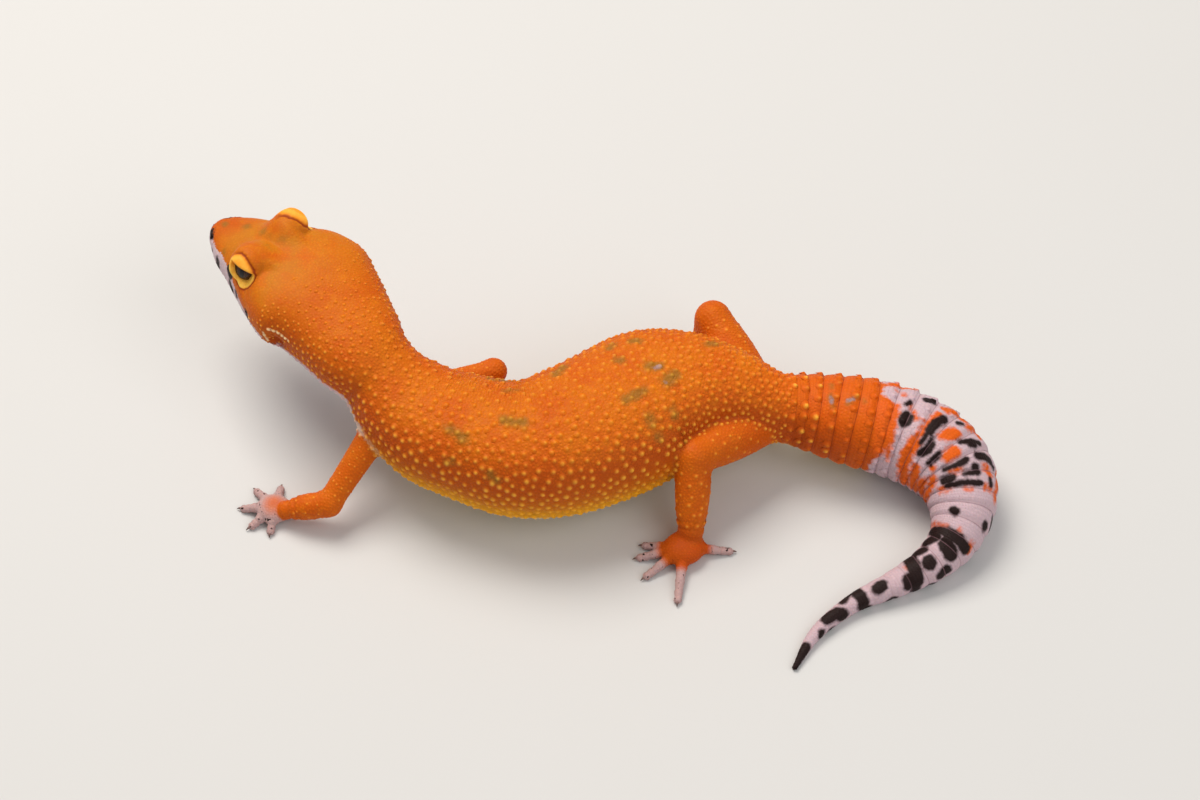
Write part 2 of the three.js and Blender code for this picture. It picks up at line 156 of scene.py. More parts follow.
def closest(points: Array, line: Array) -> Array:
    """Distance from points to a line of joined segments.

    Args:
        points: Points, one row each.
        line: The line's corners, one row each.

    Returns:
        One distance for each point.
    """
    best = ((points - line[0]) ** 2).sum(1)
    for a, b in zip(line[:-1], line[1:]):
        ab = b - a
        off = points - a
        t = np.clip(off @ ab / max(float(ab @ ab), 1e-9), 0.0, 1.0)
        np.minimum(best, ((off - t[:, None] * ab) ** 2).sum(1), out=best)
    return np.sqrt(best)


def near_line(points: Array, line: Array, reach: float) -> Array:
    """The numbers of the points in the box round a line, widened by a reach."""
    return np.flatnonzero(np.all((points > line.min(0) - reach) & (points < line.max(0) + reach), axis=1))


# ---------------------------------------------------------------- the line of the body


@dataclass
class Spot:
    """Where points lie along and around the body."""

    near: Array
    place: Array
    arc: Array
    across: Array
    rise: Array
    half: Array
    height: Array
    power: Array
    end: Array

    @property
    def angle(self) -> Array:
        """Works out the bearing round the body.

        Returns:
            Degrees: 0 on the left side, 90 on the back, 180 on the right side.
        """
        c = np.sign(self.across) * np.abs(self.across / self.half) ** (self.power / 2)
        s = np.sign(self.rise) * np.abs(self.rise / self.height) ** (self.power / 2)
        return np.degrees(np.arctan2(s, c))


@dataclass
class Spine:
    """The line down the middle of head, trunk and tail with the body's size along it, in millimetres.

    The sizes repeat the CAD source's, in its frame before it is set down on its base.
    """

    snout: tuple[float, float, float] = (-70.4, 20.9, 24.9)
    heading: float = 140.5
    bend_from: float = 20.0
    bend_drop: float = 0.006
    bend_turn: float = 0.012
    head: tuple[tuple[float, ...], ...] = (
        (0.0, 1.3, 1.2, 1.4), (0.9, 2.6, 2.2, 2.3), (2.8, 4.0, 2.9, 3.1), (5.8, 5.9, 3.8, 3.8),
        (9.4, 7.3, 5.0, 4.4), (13.2, 9.1, 6.1, 5.0), (17.0, 10.8, 6.8, 5.6), (20.8, 12.2, 7.1, 6.2),
        (24.6, 12.7, 7.2, 6.8), (28.6, 11.3, 7.1, 7.4), (32.6, 10.3, 6.9, 8.2),
    )
    body: tuple[tuple[float, ...], ...] = (
        (-42.7, -6.6, 23.1, 9.1, 6.9, 8.3), (-39.5, -9.5, 20.6, 7.8, 7.3, 8.3),
        (-35.4, -13.3, 17.8, 9.5, 8.1, 8.6), (-29.5, -17.2, 15.6, 11.1, 9.4, 9.6),
        (-22.1, -19.8, 14.7, 11.7, 10.2, 10.6), (-14.6, -21.5, 14.3, 12.6, 10.8, 11.2),
        (-6.9, -20.1, 14.1, 13.6, 11.2, 11.5), (1.3, -16.1, 14.0, 14.3, 11.3, 11.5),
        (9.4, -11.1, 13.9, 14.3, 11.0, 11.2), (16.8, -9.3, 13.8, 11.7, 10.4, 10.2),
        (24.1, -9.6, 13.3, 8.3, 9.2, 8.6), (31.7, -10.8, 12.0, 6.2, 7.2, 6.8),
        (37.4, -11.0, 11.0, 7.2, 7.1, 6.9), (45.1, -12.3, 10.2, 8.3, 8.2, 8.1),
        (52.5, -14.0, 9.4, 8.5, 8.4, 8.4), (59.1, -17.2, 8.6, 8.3, 8.2, 8.3),
        (63.5, -22.0, 7.3, 7.6, 7.4, 7.5), (64.7, -28.0, 5.9, 6.3, 6.1, 6.2),
        (63.0, -34.1, 4.5, 4.8, 4.6, 4.7), (58.6, -38.8, 3.3, 3.6, 3.4, 3.5),
        (52.1, -42.5, 2.3, 2.6, 2.4, 2.5), (44.6, -46.2, 1.6, 1.8, 1.7, 1.8),
        (37.9, -52.1, 1.1, 1.3, 1.2, 1.3), (33.7, -59.3, 0.5, 0.5, 0.4, 0.6),
    )
    head_power: float = 2.45
    trunk_power: float = 2.25
    tail_power: float = 2.05
    tail_from: tuple[float, float] = (30.0, 12.5)
    tail_stations: tuple[float, float] = (12.0, 2.0)
    steps: int = 25
    at_once: int = 40000

    def __post_init__(self) -> None:
        """Samples the line finely enough that points between samples need no curve."""
        yaw = math.radians(self.heading)
        self.forward = np.array([math.cos(yaw), math.sin(yaw), 0.0])
        self.leftward = np.array([-math.sin(yaw), math.cos(yaw), 0.0])
        self.upward = np.array([0.0, 0.0, 1.0])
        middles, sizes, powers = [], [], []
        for back, half, up, down in self.head:
            bend = max(0.0, back - self.bend_from) ** 2
            middles.append(self.head_point(back, self.bend_turn * bend, -self.bend_drop * bend))
            sizes.append((half, up, down))
            powers.append(self.head_power)
        for x, y, z, half, up, down in self.body:
            middles.append(np.array([x, y, z]))
            sizes.append((half, up, down))
            on_tail = x > self.tail_from[0] and z < self.tail_from[1]
            powers.append(self.tail_power if on_tail else self.trunk_power)
        self.last = len(middles) - 1
        self.tail_start, self.tail_stop = (self.last - number for number in self.tail_stations)
        self.place = np.linspace(0, self.last, self.last * self.steps + 1)
        self.middle, slope = through(np.array(middles), self.place)
        self.size = through(np.array(sizes), self.place)[0]
        self.power = np.interp(self.place, np.arange(self.last + 1), powers)
        self.speed = np.linalg.norm(slope, axis=1)
        self.along = slope / self.speed[:, None]
        self.left = unit(np.cross(self.along, self.upward))
        self.up = np.cross(self.left, self.along)
        gaps = np.linalg.norm(np.diff(self.middle, axis=0), axis=1)
        self.arc = np.concatenate([[0.0], np.cumsum(gaps)])
        self.length = float(self.arc[-1])

    def head_point(self, back: float, side: float, up: float) -> Array:
        """A point of the head, by its distance back from the snout, to the left and up."""
        return np.array(self.snout) - back * self.forward + side * self.leftward + up * self.upward

    def head_axes(self, points: Array) -> tuple[Array, Array, Array]:
        """Distances of points back from the snout, to the left and up, in the head's own axes."""
        off = points - np.array(self.snout)
        return -off @ self.forward, off @ self.leftward, off @ self.upward

    def nearest(self, points: Array) -> Array:
        """Finds the nearest sample of the line.

        Args:
            points: Points in millimetres.

        Returns:
            A sample's number for each point.
        """
        found = np.empty(len(points), int)
        line = self.middle.astype(np.float32)
        square = (line**2).sum(1)
        for start in range(0, len(points), self.at_once):
            part = points[start : start + self.at_once].astype(np.float32)
            found[start : start + len(part)] = np.argmin(square[None] - 2.0 * part @ line.T, axis=1)
        return found

    def locate(self, points: Array, near: Array | None = None) -> Spot:
        """Finds where points lie along and around the body.

        Args:
            points: Points in millimetres.
            near: Their nearest samples, where these are known.

        Returns:
            Their place along the body and their distance across and up from its middle.
        """
        near = self.nearest(points) if near is None else near
        shift = np.einsum("ij,ij->i", points - self.middle[near], self.along[near])
        place = self.place[near] + shift / self.speed[near]
        inside = np.clip(place, 0.0, self.last - 1e-6)
        low = np.floor(inside * self.steps).astype(int)
        f = inside * self.steps - low

        def between(values: Array) -> Array:
            """Values between two samples."""
            share = f if values.ndim == 1 else f[:, None]
            return values[low] * (1 - share) + values[low + 1] * share

        off = points - between(self.middle)
        across = np.einsum("ij,ij->i", off, between(self.left))
        rise = np.einsum("ij,ij->i", off, between(self.up))
        size = between(self.size)
        arc = between(self.arc)
        over = np.where(place < 0, -shift, 0.0) + np.where(place > self.last, shift, 0.0)
        end = np.maximum(-arc, arc - self.length) + over
        height = np.where(rise > 0, size[:, 1], size[:, 2])
        return Spot(near, inside, arc, across, rise, size[:, 0], height, between(self.power), end)

    def ring(self, arc: Array, angle: Array) -> Array:
        """Points on the body's outline.

        Args:
            arc: Distances along the body.
            angle: Degrees round it.

        Returns:
            One point for each pair.
        """
        place = np.interp(arc, self.arc, self.place)
        low = np.clip(np.floor(place * self.steps).astype(int), 0, len(self.place) - 2)
        f = (place * self.steps - low)[:, None]
        size = self.size[low] * (1 - f) + self.size[low + 1] * f
        power = self.power[low]
        c, s = np.cos(np.radians(angle)), np.sin(np.radians(angle))
        across = size[:, 0] * np.sign(c) * np.abs(c) ** (2 / power)
        rise = np.where(s > 0, size[:, 1], size[:, 2]) * np.sign(s) * np.abs(s) ** (2 / power)
        middle = self.middle[low] * (1 - f) + self.middle[low + 1] * f
        return middle + self.left[low] * across[:, None] + self.up[low] * rise[:, None]

    def station_arc(self, station: float) -> float:
        """Distance along the body of a station number."""
        return float(np.interp(station, self.place, self.arc))


# ---------------------------------------------------------------- head features


@dataclass
class EyeSeat:
    """An eye's place in the head, its lids and their opening, in the head's axes."""

    back: float = 14.1
    side: float = 5.2
    up: float = 5.0
    ball: float = 3.15
    lid: tuple[float, float, float] = (4.0, 4.0, 3.9)
    lift: float = 0.1
    cover: float = 0.12
    lean: float = -0.35
    flatter: float = 0.7
    fold: tuple[tuple[float, float], ...] = (
        (2.3, 1.5), (1.85, 2.15), (1.25, 2.6), (0.6, 2.9), (-0.4, 2.85), (-1.2, 2.5), (-2.0, 1.95),
        (-2.7, 1.25), (-3.15, 0.4), (-3.3, -0.6), (-3.15, -1.4), (-2.75, -2.2), (-2.05, -2.9),
        (-1.1, -3.2), (-0.2, -3.15), (0.6, -2.65), (1.25, -2.0), (1.8, -1.25), (2.2, -0.3), (2.4, 0.7),
    )
    raised: float = 0.5
    opening: tuple[tuple[float, float], ...] = (
        (1.6, 1.25), (0.5, 1.25), (-0.5, 1.1), (-1.3, 1.0), (-2.2, 0.8), (-2.95, 0.45), (-2.85, -0.5),
        (-2.4, -1.6), (-1.8, -2.3), (-1.0, -2.45), (-0.2, -2.1), (0.75, -1.1), (1.35, 0.2),
    )

    def axes(self, back: Array, side: Array, up: Array) -> tuple[Array, Array, Array]:
        """Turns to the eye's own axes.

        Args:
            back: Distances back from the snout.
            side: Distances to the left.
            up: Distances over the head's axis.

        Returns:
            Distances from the ball's middle: forward, up along the opening, and out through it.
        """
        forward, out, rise = self.back - back, np.abs(side) - self.side, up - self.up
        c, s = math.cos(self.lean), math.sin(self.lean)
        return forward, rise * c + out * s, out * c - rise * s

    def dome(self, back: Array, side: Array, up: Array) -> Array:
        """Measures to the bulge of the lids.

        Args:
            back: Distances back from the snout.
            side: Distances to the left.
            up: Distances over the head's axis.

        Returns:
            One distance for each point.
        """
        p = np.stack([self.back - back, np.abs(side) - self.side, up - self.up - self.lift], 1)
        low = ramp(-p[:, 2], -1.2, 2.6)[:, None] * ramp(p[:, 0], -2.5, 1.0)[:, None]
        front = ramp(p[:, 0], 0.5, 3.2)[:, None] * np.array([0.35, 0.25, 0.0])
        r = np.array(self.lid) - self.cover - low * self.flatter * np.array([1.0, 1.0, 0.3]) - front
        k0 = np.linalg.norm(p / r, axis=1)
        k1 = np.linalg.norm(p / r**2, axis=1)
        return k0 * (k0 - 1.0) / np.maximum(k1, 1e-6)

    def slit(self, forward: Array, rise: Array, out: Array) -> Array:
        """Distance along the dome to the edge between the lids, below zero inside the opening."""
        share = self.lid[0] / np.maximum(np.sqrt(forward**2 + rise**2 + out**2), 1.0)
        return inside_gap(np.array(self.opening), forward * share, rise * share) - 0.14

    def lid_edge(self, forward: Array, rise: Array, side: Array) -> Array:
        """Distance to the fold that bounds the lids, below zero on them; the right lid is held higher."""
        lift = self.raised * (side < 0) * ramp(rise, 0.3, 2.4)
        return inside_gap(np.array(self.fold), forward - 1.4 * lift * ramp(forward, -0.5, 1.5), rise - lift)


@dataclass
class Fold:
    """A crease in the skin along a path of (distance along the body, degrees round it)."""

    path: tuple[tuple[float, float], ...]
    depth: float
    width: float


@dataclass
class HeadFeatures:
    """Nostrils, ears, mouth and the lids' creases, in the head's axes."""

    seat: EyeSeat = field(default_factory=EyeSeat)
    nostril: tuple[float, float, float] = (2.4, 3.2, 1.5)
    nostril_size: float = 0.55
    ear: tuple[float, float, float] = (26.2, 12.1, -1.5)
    ear_size: tuple[float, float, float] = (1.5, 1.5, 1.7)
    mouth_corner: float = 19.5
    mouth_height: float = -0.9
    mouth_dip: float = 0.5
    lip_heights: tuple[tuple[float, ...], tuple[float, ...]] = (
        (0.0, 3.0, 5.0, 7.0, 10.0, 13.0, 16.0, 19.0, 24.0), (1.0, 1.9, 2.0, 2.6, 2.5, 1.9, 0.6, 0.0, -0.7),
    )

    def mouth_line(self, back: Array) -> Array:
        """Finds the line between the lips.

        Args:
            back: Distances back from the snout.

        Returns:
            Its heights over the head's axis.
        """
        u = np.clip(2 * back / self.mouth_corner - 1, -1, 1)
        curl = 0.08 * np.maximum(0.0, back - self.mouth_corner + 1.5)
        return self.mouth_height - self.mouth_dip * (1 - u**2) - curl

    def lip_edge(self, back: Array) -> Array:
        """Height of the upper lip's pale edge over the head's axis."""
        return np.interp(back, *self.lip_heights)

    def shape(self, distance: Array, back: Array, side: Array, up: Array) -> Array:
        """Adds the lids to the head and sinks its openings.

        Args:
            distance: Distances to the head before its features.
            back: Distances back from the snout.
            side: Distances to the left.
            up: Distances over the axis.

        Returns:
            Distances to the finished head.
        """
        distance = self.add_lids(distance, back, side, up)
        distance = self.sink_openings(distance, back, np.abs(side), up)
        mouth = up - self.mouth_line(back)
        closed = ramp(-back, -self.mouth_corner - 1.6, -self.mouth_corner + 0.4)
        distance = distance + 0.34 * ridge(mouth, 0.2) * closed
        return distance - 0.14 * ridge(mouth - 0.75, 0.5) * closed - 0.1 * ridge(mouth + 0.7, 0.45) * closed

    def add_lids(self, distance: Array, back: Array, side: Array, up: Array) -> Array:
        """Raises the eyes' domes, with the fold round the lids, their thick margins and the opening.

        Args:
            distance: Distances to the head so far.
            back: Distances back from the snout.
            side: Distances to the left.
            up: Distances over the axis.

        Returns:
            Distances to the head with its lids.
        """
        seat = self.seat
        dome = seat.dome(back, side, up)
        inner = ramp(-np.abs(side), -seat.side - 0.6, -seat.side + 1.8)
        distance = soft_min(distance, dome, 0.5 + 3.2 * inner)
        forward, rise, out = seat.axes(back, side, up)
        facing = ramp(out, 0.0, 1.0)
        slit = seat.slit(forward, rise, out)
        edge = seat.lid_edge(forward, rise, side)
        behind = ramp(-forward, -2.6, -0.6)
        distance = distance + 0.2 * ridge(edge - 0.08, 0.26) * facing * (0.25 + 0.75 * behind)
        distance = distance - 0.12 * ramp(-edge, 0.0, 0.6) * facing
        distance = distance - 0.14 * ridge(slit - 0.34, 0.32) * facing
        socket = seat.ball - 0.55 - np.sqrt(forward**2 + rise**2 + out**2)
        hole = np.maximum(np.maximum(slit, socket), 0.3 - out)
        return soft_max(distance, -hole, 0.22)

    def sink_openings(self, distance: Array, back: Array, flat: Array, up: Array) -> Array:
        """Sinks the nostrils, each in a low rim, and the ears.

        Args:
            distance: Distances to the head so far.
            back: Distances back from the snout.
            flat: Distances to either side.
            up: Distances over the axis.

        Returns:
            Distances to the head with its openings.
        """
        nostril = self.nostril
        gap = np.sqrt((back - nostril[0]) ** 2 + (flat - nostril[1]) ** 2 + (up - nostril[2]) ** 2)
        distance = distance - 0.12 * ridge(gap - 0.95, 0.3)
        distance = soft_max(distance, self.nostril_size - gap, 0.2)
        return soft_max(distance, (1 - self.ear_share(back, flat, up)) * 0.9, 0.35)

    def ear_share(self, back: Array, flat: Array, up: Array) -> Array:
        """Distance from an ear's middle as a share of its size."""
        off = zip((back, flat, up), self.ear, self.ear_size)
        return np.sqrt(sum(((value - middle) / size) ** 2 for value, middle, size in off))


# ---------------------------------------------------------------- limbs


@dataclass
class Toe:
    """One toe: its bearing in degrees from +X towards +Y, and its length without the claw."""

    bearing: float
    length: float


@dataclass
class LimbSpot:
    """Distances of points from a limb's parts and from its paw's middle, and shares of the way along two."""

    upper: Array
    upper_share: Array
    lower: Array
    lower_share: Array
    paw: Array
    gone: Array

    @property
    def nearest(self) -> Array:
        """Distance to the nearest part."""
        return np.minimum(np.minimum(self.upper, self.lower), self.paw)


@dataclass
class Limb:
    """One leg: shoulder or hip, elbow or knee, wrist or ankle, then the sole and its toes."""

    name: str
    joints: tuple[tuple[float, float, float], ...]
    girth: tuple[float, float, float]
    swell: tuple[float, float]
    palm: tuple[float, float, float]
    palm_size: tuple[float, float, float]
    palm_heading: float
    toes: tuple[Toe, ...]
    cover: float = 0.22
    orange_reach: float = 4.0
    toe_girth: tuple[float, ...] = (1.15, 0.95, 0.76, 0.72)
    arch: float = 1.6
    sole_depth: float = 0.35
    bone_reach: float = 7.0
    paw_reach: float = 16.0
    off_paw: float = 20.0
    far: float = 1e3

    def __post_init__(self) -> None:
        """Works out the toes' paths over the ground."""
        self.a, self.b, self.c = (np.array(j) for j in self.joints)
        self.centre = np.array(self.palm)
        turn = math.radians(self.palm_heading)
        c, s = math.cos(turn), math.sin(turn)
        self.turn = np.array([[c, s, 0], [-s, c, 0], [0, 0, 1]])
        self.chains: list[tuple[Array, Array]] = []
        tip = self.toe_girth[3] - self.sole_depth / 2
        for toe in self.toes:
            out = np.array([math.cos(math.radians(toe.bearing)), math.sin(math.radians(toe.bearing)), 0.0])
            stops = [min(self.palm_size) * 0.4, toe.length * 0.45, toe.length * 0.75, toe.length * 0.94]
            heights = [self.arch, self.arch * 0.95, tip + 0.35, tip]
            knots = np.array([[*(self.centre[:2] + out[:2] * s), h] for s, h in zip(stops, heights)])
            t = np.linspace(0, 3, 13)
            path = through(knots, t)[0]
            girth = np.interp(t, range(4), self.toe_girth)
            girth = girth * (1 + 0.07 * np.cos(2 * np.pi * t * 1.3)) - 0.05
            self.chains.append((path, girth))

    @staticmethod
    def bone(points: Array, a: Array, b: Array, ra: float, rb: float, swell: float) -> tuple[Array, Array]:
        """Measures to a round length of limb.

        Args:
            points: Points in millimetres.
            a: The middle of its start.
            b: The middle of its end.
            ra: Its radius at the start.
            rb: Its radius at the end.
            swell: How much thicker it is halfway.

        Returns:
            Distances to it, and shares of the way along it.
        """
        ab = b - a
        t = np.clip((points - a) @ ab / (ab @ ab), 0.0, 1.0)
        radius = ra + (rb - ra) * t + swell * np.sin(np.pi * t)
        return np.linalg.norm(points - a - t[:, None] * ab, axis=1) - radius, t

    def upper(self, points: Array) -> tuple[Array, Array]:
        """Distance to the upper arm or thigh."""
        g = self.girth
        return self.bone(points, self.a, self.b, g[0] - self.cover, g[1] - self.cover, self.swell[0])

    def lower(self, points: Array) -> tuple[Array, Array]:
        """Measures to the forearm or shin.

        Args:
            points: Points in millimetres.

        Returns:
            Distances to it, and shares of the way along it.
        """
        g = self.girth
        start, end = g[1] * 0.97 - self.cover, g[2] - self.cover * 0.8
        return self.bone(points, self.b, self.c, start, end, self.swell[1])

    def paw(self, points: Array) -> Array:
        """Measures to the sole and toes.

        Args:
            points: Points in millimetres.

        Returns:
            One distance for each point.
        """
        local = (points - self.centre) @ self.turn.T
        r = np.array(self.palm_size) - 0.1
        k0 = np.linalg.norm(local / r, axis=1)
        paw = k0 * (k0 - 1.0) / np.maximum(np.linalg.norm(local / r**2, axis=1), 1e-6)
        for path, girth in self.chains:
            toe = np.full(len(points), self.far)
            for a, b, ra, rb in zip(path, path[1:], girth, girth[1:]):
                toe = np.minimum(toe, self.bone(points, a, b, ra, rb, 0.0)[0])
            paw = soft_min(paw, toe, 0.7)
        return paw

    def close(self, points: Array) -> Array:
        """The numbers of the points close enough to the limb to matter.

        Args:
            points: Points in millimetres.

        Returns:
            Their numbers.
        """
        joints = np.stack([self.a, self.b, self.c])
        low, high = joints.min(0) - self.bone_reach, joints.max(0) + self.bone_reach
        box = np.all((points > low) & (points < high), axis=1)
        return np.flatnonzero(box | (self.gone(points) < self.paw_reach))

    def gone(self, points: Array) -> Array:
        """Distance from the middle of the paw."""
        return np.linalg.norm(points - self.centre, axis=1)

    def spot(self, points: Array) -> LimbSpot:
        """Measures to each part of the limb.

        Args:
            points: Points in millimetres.

        Returns:
            Where they lie by the limb.
        """
        gone = self.gone(points)
        paw = np.where(gone < self.paw_reach, self.paw(points), self.off_paw)
        return LimbSpot(*self.upper(points), *self.lower(points), paw, gone)

    def distance(self, points: Array) -> Array:
        """Measures to the whole limb, with two creases at the wrist.

        Args:
            points: Points in millimetres.

        Returns:
            One distance for each point.
        """
        upper = self.upper(points)[0]
        lower, share = self.lower(points)
        left = (1 - share) * np.linalg.norm(self.c - self.b)
        wrist = 0.16 * (ridge(left - 0.6, 0.28) + ridge(left - 2.0, 0.25))
        limb = soft_min(upper, lower + wrist, 1.2)
        paw = np.full(len(points), self.far)
        close = self.gone(points) < self.paw_reach
        paw[close] = self.paw(points[close])
        return soft_min(limb, paw, 0.9)


def toes(*pairs: tuple[float, float]) -> tuple[Toe, ...]:
    """Toes from pairs of bearing and length."""
    return tuple(Toe(*pair) for pair in pairs)


def gecko_limbs() -> list[Limb]:
    """Sets out the limbs, as the CAD source places them.

    Returns:
        The four limbs.
    """
    arm = {
        "girth": (3.0, 2.4, 1.85), "swell": (-0.1, 0.45), "palm_size": (3.3, 2.9, 1.9), "orange_reach": 1.4,
    }
    leg = {"girth": (4.3, 3.3, 2.5), "swell": (0.45, 0.45), "palm_size": (3.9, 3.5, 2.3)}
    return [
        Limb(
            "arm_left", ((-40.2, -18.0, 14.0), (-48.5, -27.5, 5.7), (-56.0, -27.0, 3.1)),
            palm=(-58.6, -25.8, 1.7), palm_heading=170,
            toes=toes((82, 5.4), (128, 6.0), (172, 6.0), (217, 5.2), (262, 4.4)), **arm,
        ),
        Limb(
            "arm_right", ((-33.0, -9.4, 14.6), (-19.3, -3.6, 13.4), (-23.6, -0.4, 3.4)),
            palm=(-26.0, 0.8, 1.7), palm_heading=150,
            toes=toes((242, 4.4), (197, 5.2), (154, 6.0), (112, 6.0), (66, 5.2)), **arm,
        ),
        Limb(
            "leg_left", ((27.8, -14.6, 11.5), (16.7, -23.8, 15.0), (16.2, -32.2, 4.4)),
            palm=(15.0, -34.6, 2.1), palm_heading=200,
            toes=toes((168, 7.4), (188, 8.4), (217, 8.9), (263, 10.8), (2, 8.6)), **leg,
        ),
        Limb(
            "leg_right", ((27.4, -5.4, 11.5), (20.6, 6.2, 16.4), (19.2, 3.4, 4.4)),
            palm=(16.6, 4.4, 2.1), palm_heading=165,
            toes=toes((205, 7.0), (180, 8.2), (155, 8.8), (128, 9.2), (350, 7.6)), **leg,
        ),
    ]


# ---------------------------------------------------------------- the whole form


@dataclass
class GeckoForm:
    """The animal's surface under its scales, as a distance field in millimetres."""

    spine: Spine = field(default_factory=Spine)
    features: HeadFeatures = field(default_factory=HeadFeatures)
    limbs: list[Limb] = field(default_factory=gecko_limbs)
    whorls: int = 24
    whorl_depth: float = 0.44
    whorl_share: float = 0.72
    whorl_wave: float = 0.04
    full_tail: float = 8.8
    cover_depth: tuple[tuple[float, ...], tuple[float, ...]] = (
        (0, 3, 20, 38, 50, 125, 145, 185, 211), (0.3, 0.14, 0.14, 0.3, 0.36, 0.34, 0.26, 0.14, 0.1),
    )
    shorter: float = 0.18
    folds: tuple[Fold, ...] = (
        Fold(((49.0, -12), (52.0, 6), (56.0, 10)), 0.34, 0.6),
        Fold(((104.6, 18), (108.2, 22), (111.4, 23), (113.3, 26), (115.6, 28), (118.0, 26), (120.0, 21),
              (122.0, 10)), 0.3, 0.42),
        Fold(((117.6, 30), (120.6, 24), (123.0, 13), (124.0, 6)), 0.16, 0.4),
        Fold(((103.6, 34), (102.6, 18), (102.4, 0)), 0.18, 0.6),
        Fold(((60.0, -8), (75.0, -14), (90.0, -14), (102.0, -8)), 0.22, 1.1),
        Fold(((60.0, 188), (75.0, 194), (90.0, 194), (102.0, 188)), 0.22, 1.1),
    )

    def __post_init__(self) -> None:
        """Lays the folds out on the body."""
        self.fold_lines = [(self.lay(fold.path, 0.5), fold) for fold in self.folds]

    def lay(self, path: tuple[tuple[float, float], ...], step: float) -> Array:
        """Lays a path out on the body.

        Args:
            path: Its corners, as distances along the body and degrees round it.
            step: About how far apart the points are.

        Returns:
            Points along it.
        """
        knots = np.array(path, float)
        coarse = self.spine.ring(knots[:, 0], knots[:, 1])
        if len(knots) == 1:
            return coarse
        runs = np.concatenate([[0], np.cumsum(np.linalg.norm(np.diff(coarse, axis=0), axis=1))])
        t = np.linspace(0, runs[-1], max(2, int(runs[-1] / step) + 1))
        return self.spine.ring(np.interp(t, runs, knots[:, 0]), np.interp(t, runs, knots[:, 1]))

    def cover(self, arc: Array) -> Array:
        """Depth of the scales over the skin, by distance along the body."""
        return np.interp(arc, *self.cover_depth)

    def wave(self, angle: Array, place: Array) -> Array:
        """How far the tail's rings sway, as a share of a ring."""
        return self.whorl_wave * np.sin(np.radians(angle) * 2.0 + place * 5.0)

    def whorl_count(self, spot: Spot) -> Array:
        """How many rings of the tail lie before points, whole numbers at the creases between rings."""
        start, stop = self.spine.tail_start, self.spine.tail_stop
        return (spot.place - start) / (stop - start) * self.whorls + self.wave(spot.angle, spot.place)

    def whorl_step(self, spot: Spot) -> Array:
        """Works out the relief of the tail's rings.

        Args:
            spot: Places on the body.

        Returns:
            How far the ring there stands out over its own middle.
        """
        start, stop = self.spine.tail_start, self.spine.tail_stop
        u = self.whorl_count(spot)
        phase = u - np.floor(u)
        share = self.whorl_share
        rising = np.sin(phase / share * np.pi / 2) - 0.5
        swell = np.where(phase < share, rising, 0.5 - (phase - share) / (1 - share))
        crease = ridge(np.minimum(phase, 1 - phase), 0.1)
        depth = self.whorl_depth * spot.half / self.full_tail
        tail = ramp(spot.place, start - 0.2, start + 1.2) * ramp(-spot.place, -stop - 0.5, -stop + 1.0)
        return tail * depth * (swell * 0.8 - 0.3 * crease)

    def core(self, spot: Spot) -> Array:
        """Measures to head, trunk and tail.

        Args:
            spot: Places on the body.

        Returns:
            One distance for each place.
        """
        a, b = np.abs(spot.across) / spot.half, np.abs(spot.rise) / spot.height
        rho = (a**spot.power + b**spot.power) ** (1 / spot.power)
        reach = np.hypot(spot.across, spot.rise)
        outer = reach - reach / np.maximum(rho, 0.05)
        side = np.where(rho < 0.05, -np.minimum(spot.half, spot.height), outer)
        side = side + self.cover(spot.arc) - self.whorl_step(spot)
        end = spot.end + self.shorter
        return np.where((side > 0) & (end > 0), np.hypot(side, end), np.maximum(side, end))

    def distance(self, points: Array, near: Array | None = None) -> Array:
        """Distance from points to the skin, below zero inside.

        Args:
            points: Points in millimetres.
            near: Their nearest samples of the spine, where these are known.

        Returns:
            One distance for each point.
        """
        spot = self.spine.locate(points, near)
        total = self.core(spot)
        head = np.flatnonzero((spot.arc < 34) & (np.abs(total) < 6))
        if len(head):
            total[head] = self.features.shape(total[head], *self.spine.head_axes(points[head]))
        for line, fold in self.fold_lines:
            close = near_line(points, line, 3 * fold.width)
            total[close] += fold.depth * ridge(closest(points[close], line), fold.width)
        for limb in self.limbs:
            close = limb.close(points)
            total[close] = soft_min(total[close], limb.distance(points[close]), 1.5)
        return soft_max(total, 0.03 - points[:, 2], 0.1)

    def slope(self, points: Array, near: Array, step: float = 0.04) -> tuple[Array, Array]:
        """Works out the distance and its slope.

        Args:
            points: Points in millimetres.
            near: Their nearest samples of the spine.
            step: How far from each point the distance is sampled.

        Returns:
            The distances and their slopes.
        """
        corners = np.array([[1, -1, -1], [-1, -1, 1], [-1, 1, -1], [1, 1, 1]], float)
        values = [self.distance(points + step * corner, near) for corner in corners]
        slope = sum(v[:, None] * corner for v, corner in zip(values, corners)) / (4 * step)
        return sum(values) / 4, slope

    def settle(self, points: Array, rounds: int = 2) -> tuple[Array, Array]:
        """Moves points onto the skin.

        Args:
            points: Points close to the skin.
            rounds: How often they are moved.

        Returns:
            The moved points and the skin's outward direction there.
        """
        points = points.copy()
        near = self.spine.nearest(points)
        slope = np.zeros_like(points)
        for _ in range(rounds):
            value, slope = self.slope(points, near)
            move = value[:, None] * slope / np.maximum((slope**2).sum(1, keepdims=True), 0.2)
            points -= np.clip(move, -0.4, 0.4)
        return points, unit(slope)


# ---------------------------------------------------------------- mesh making


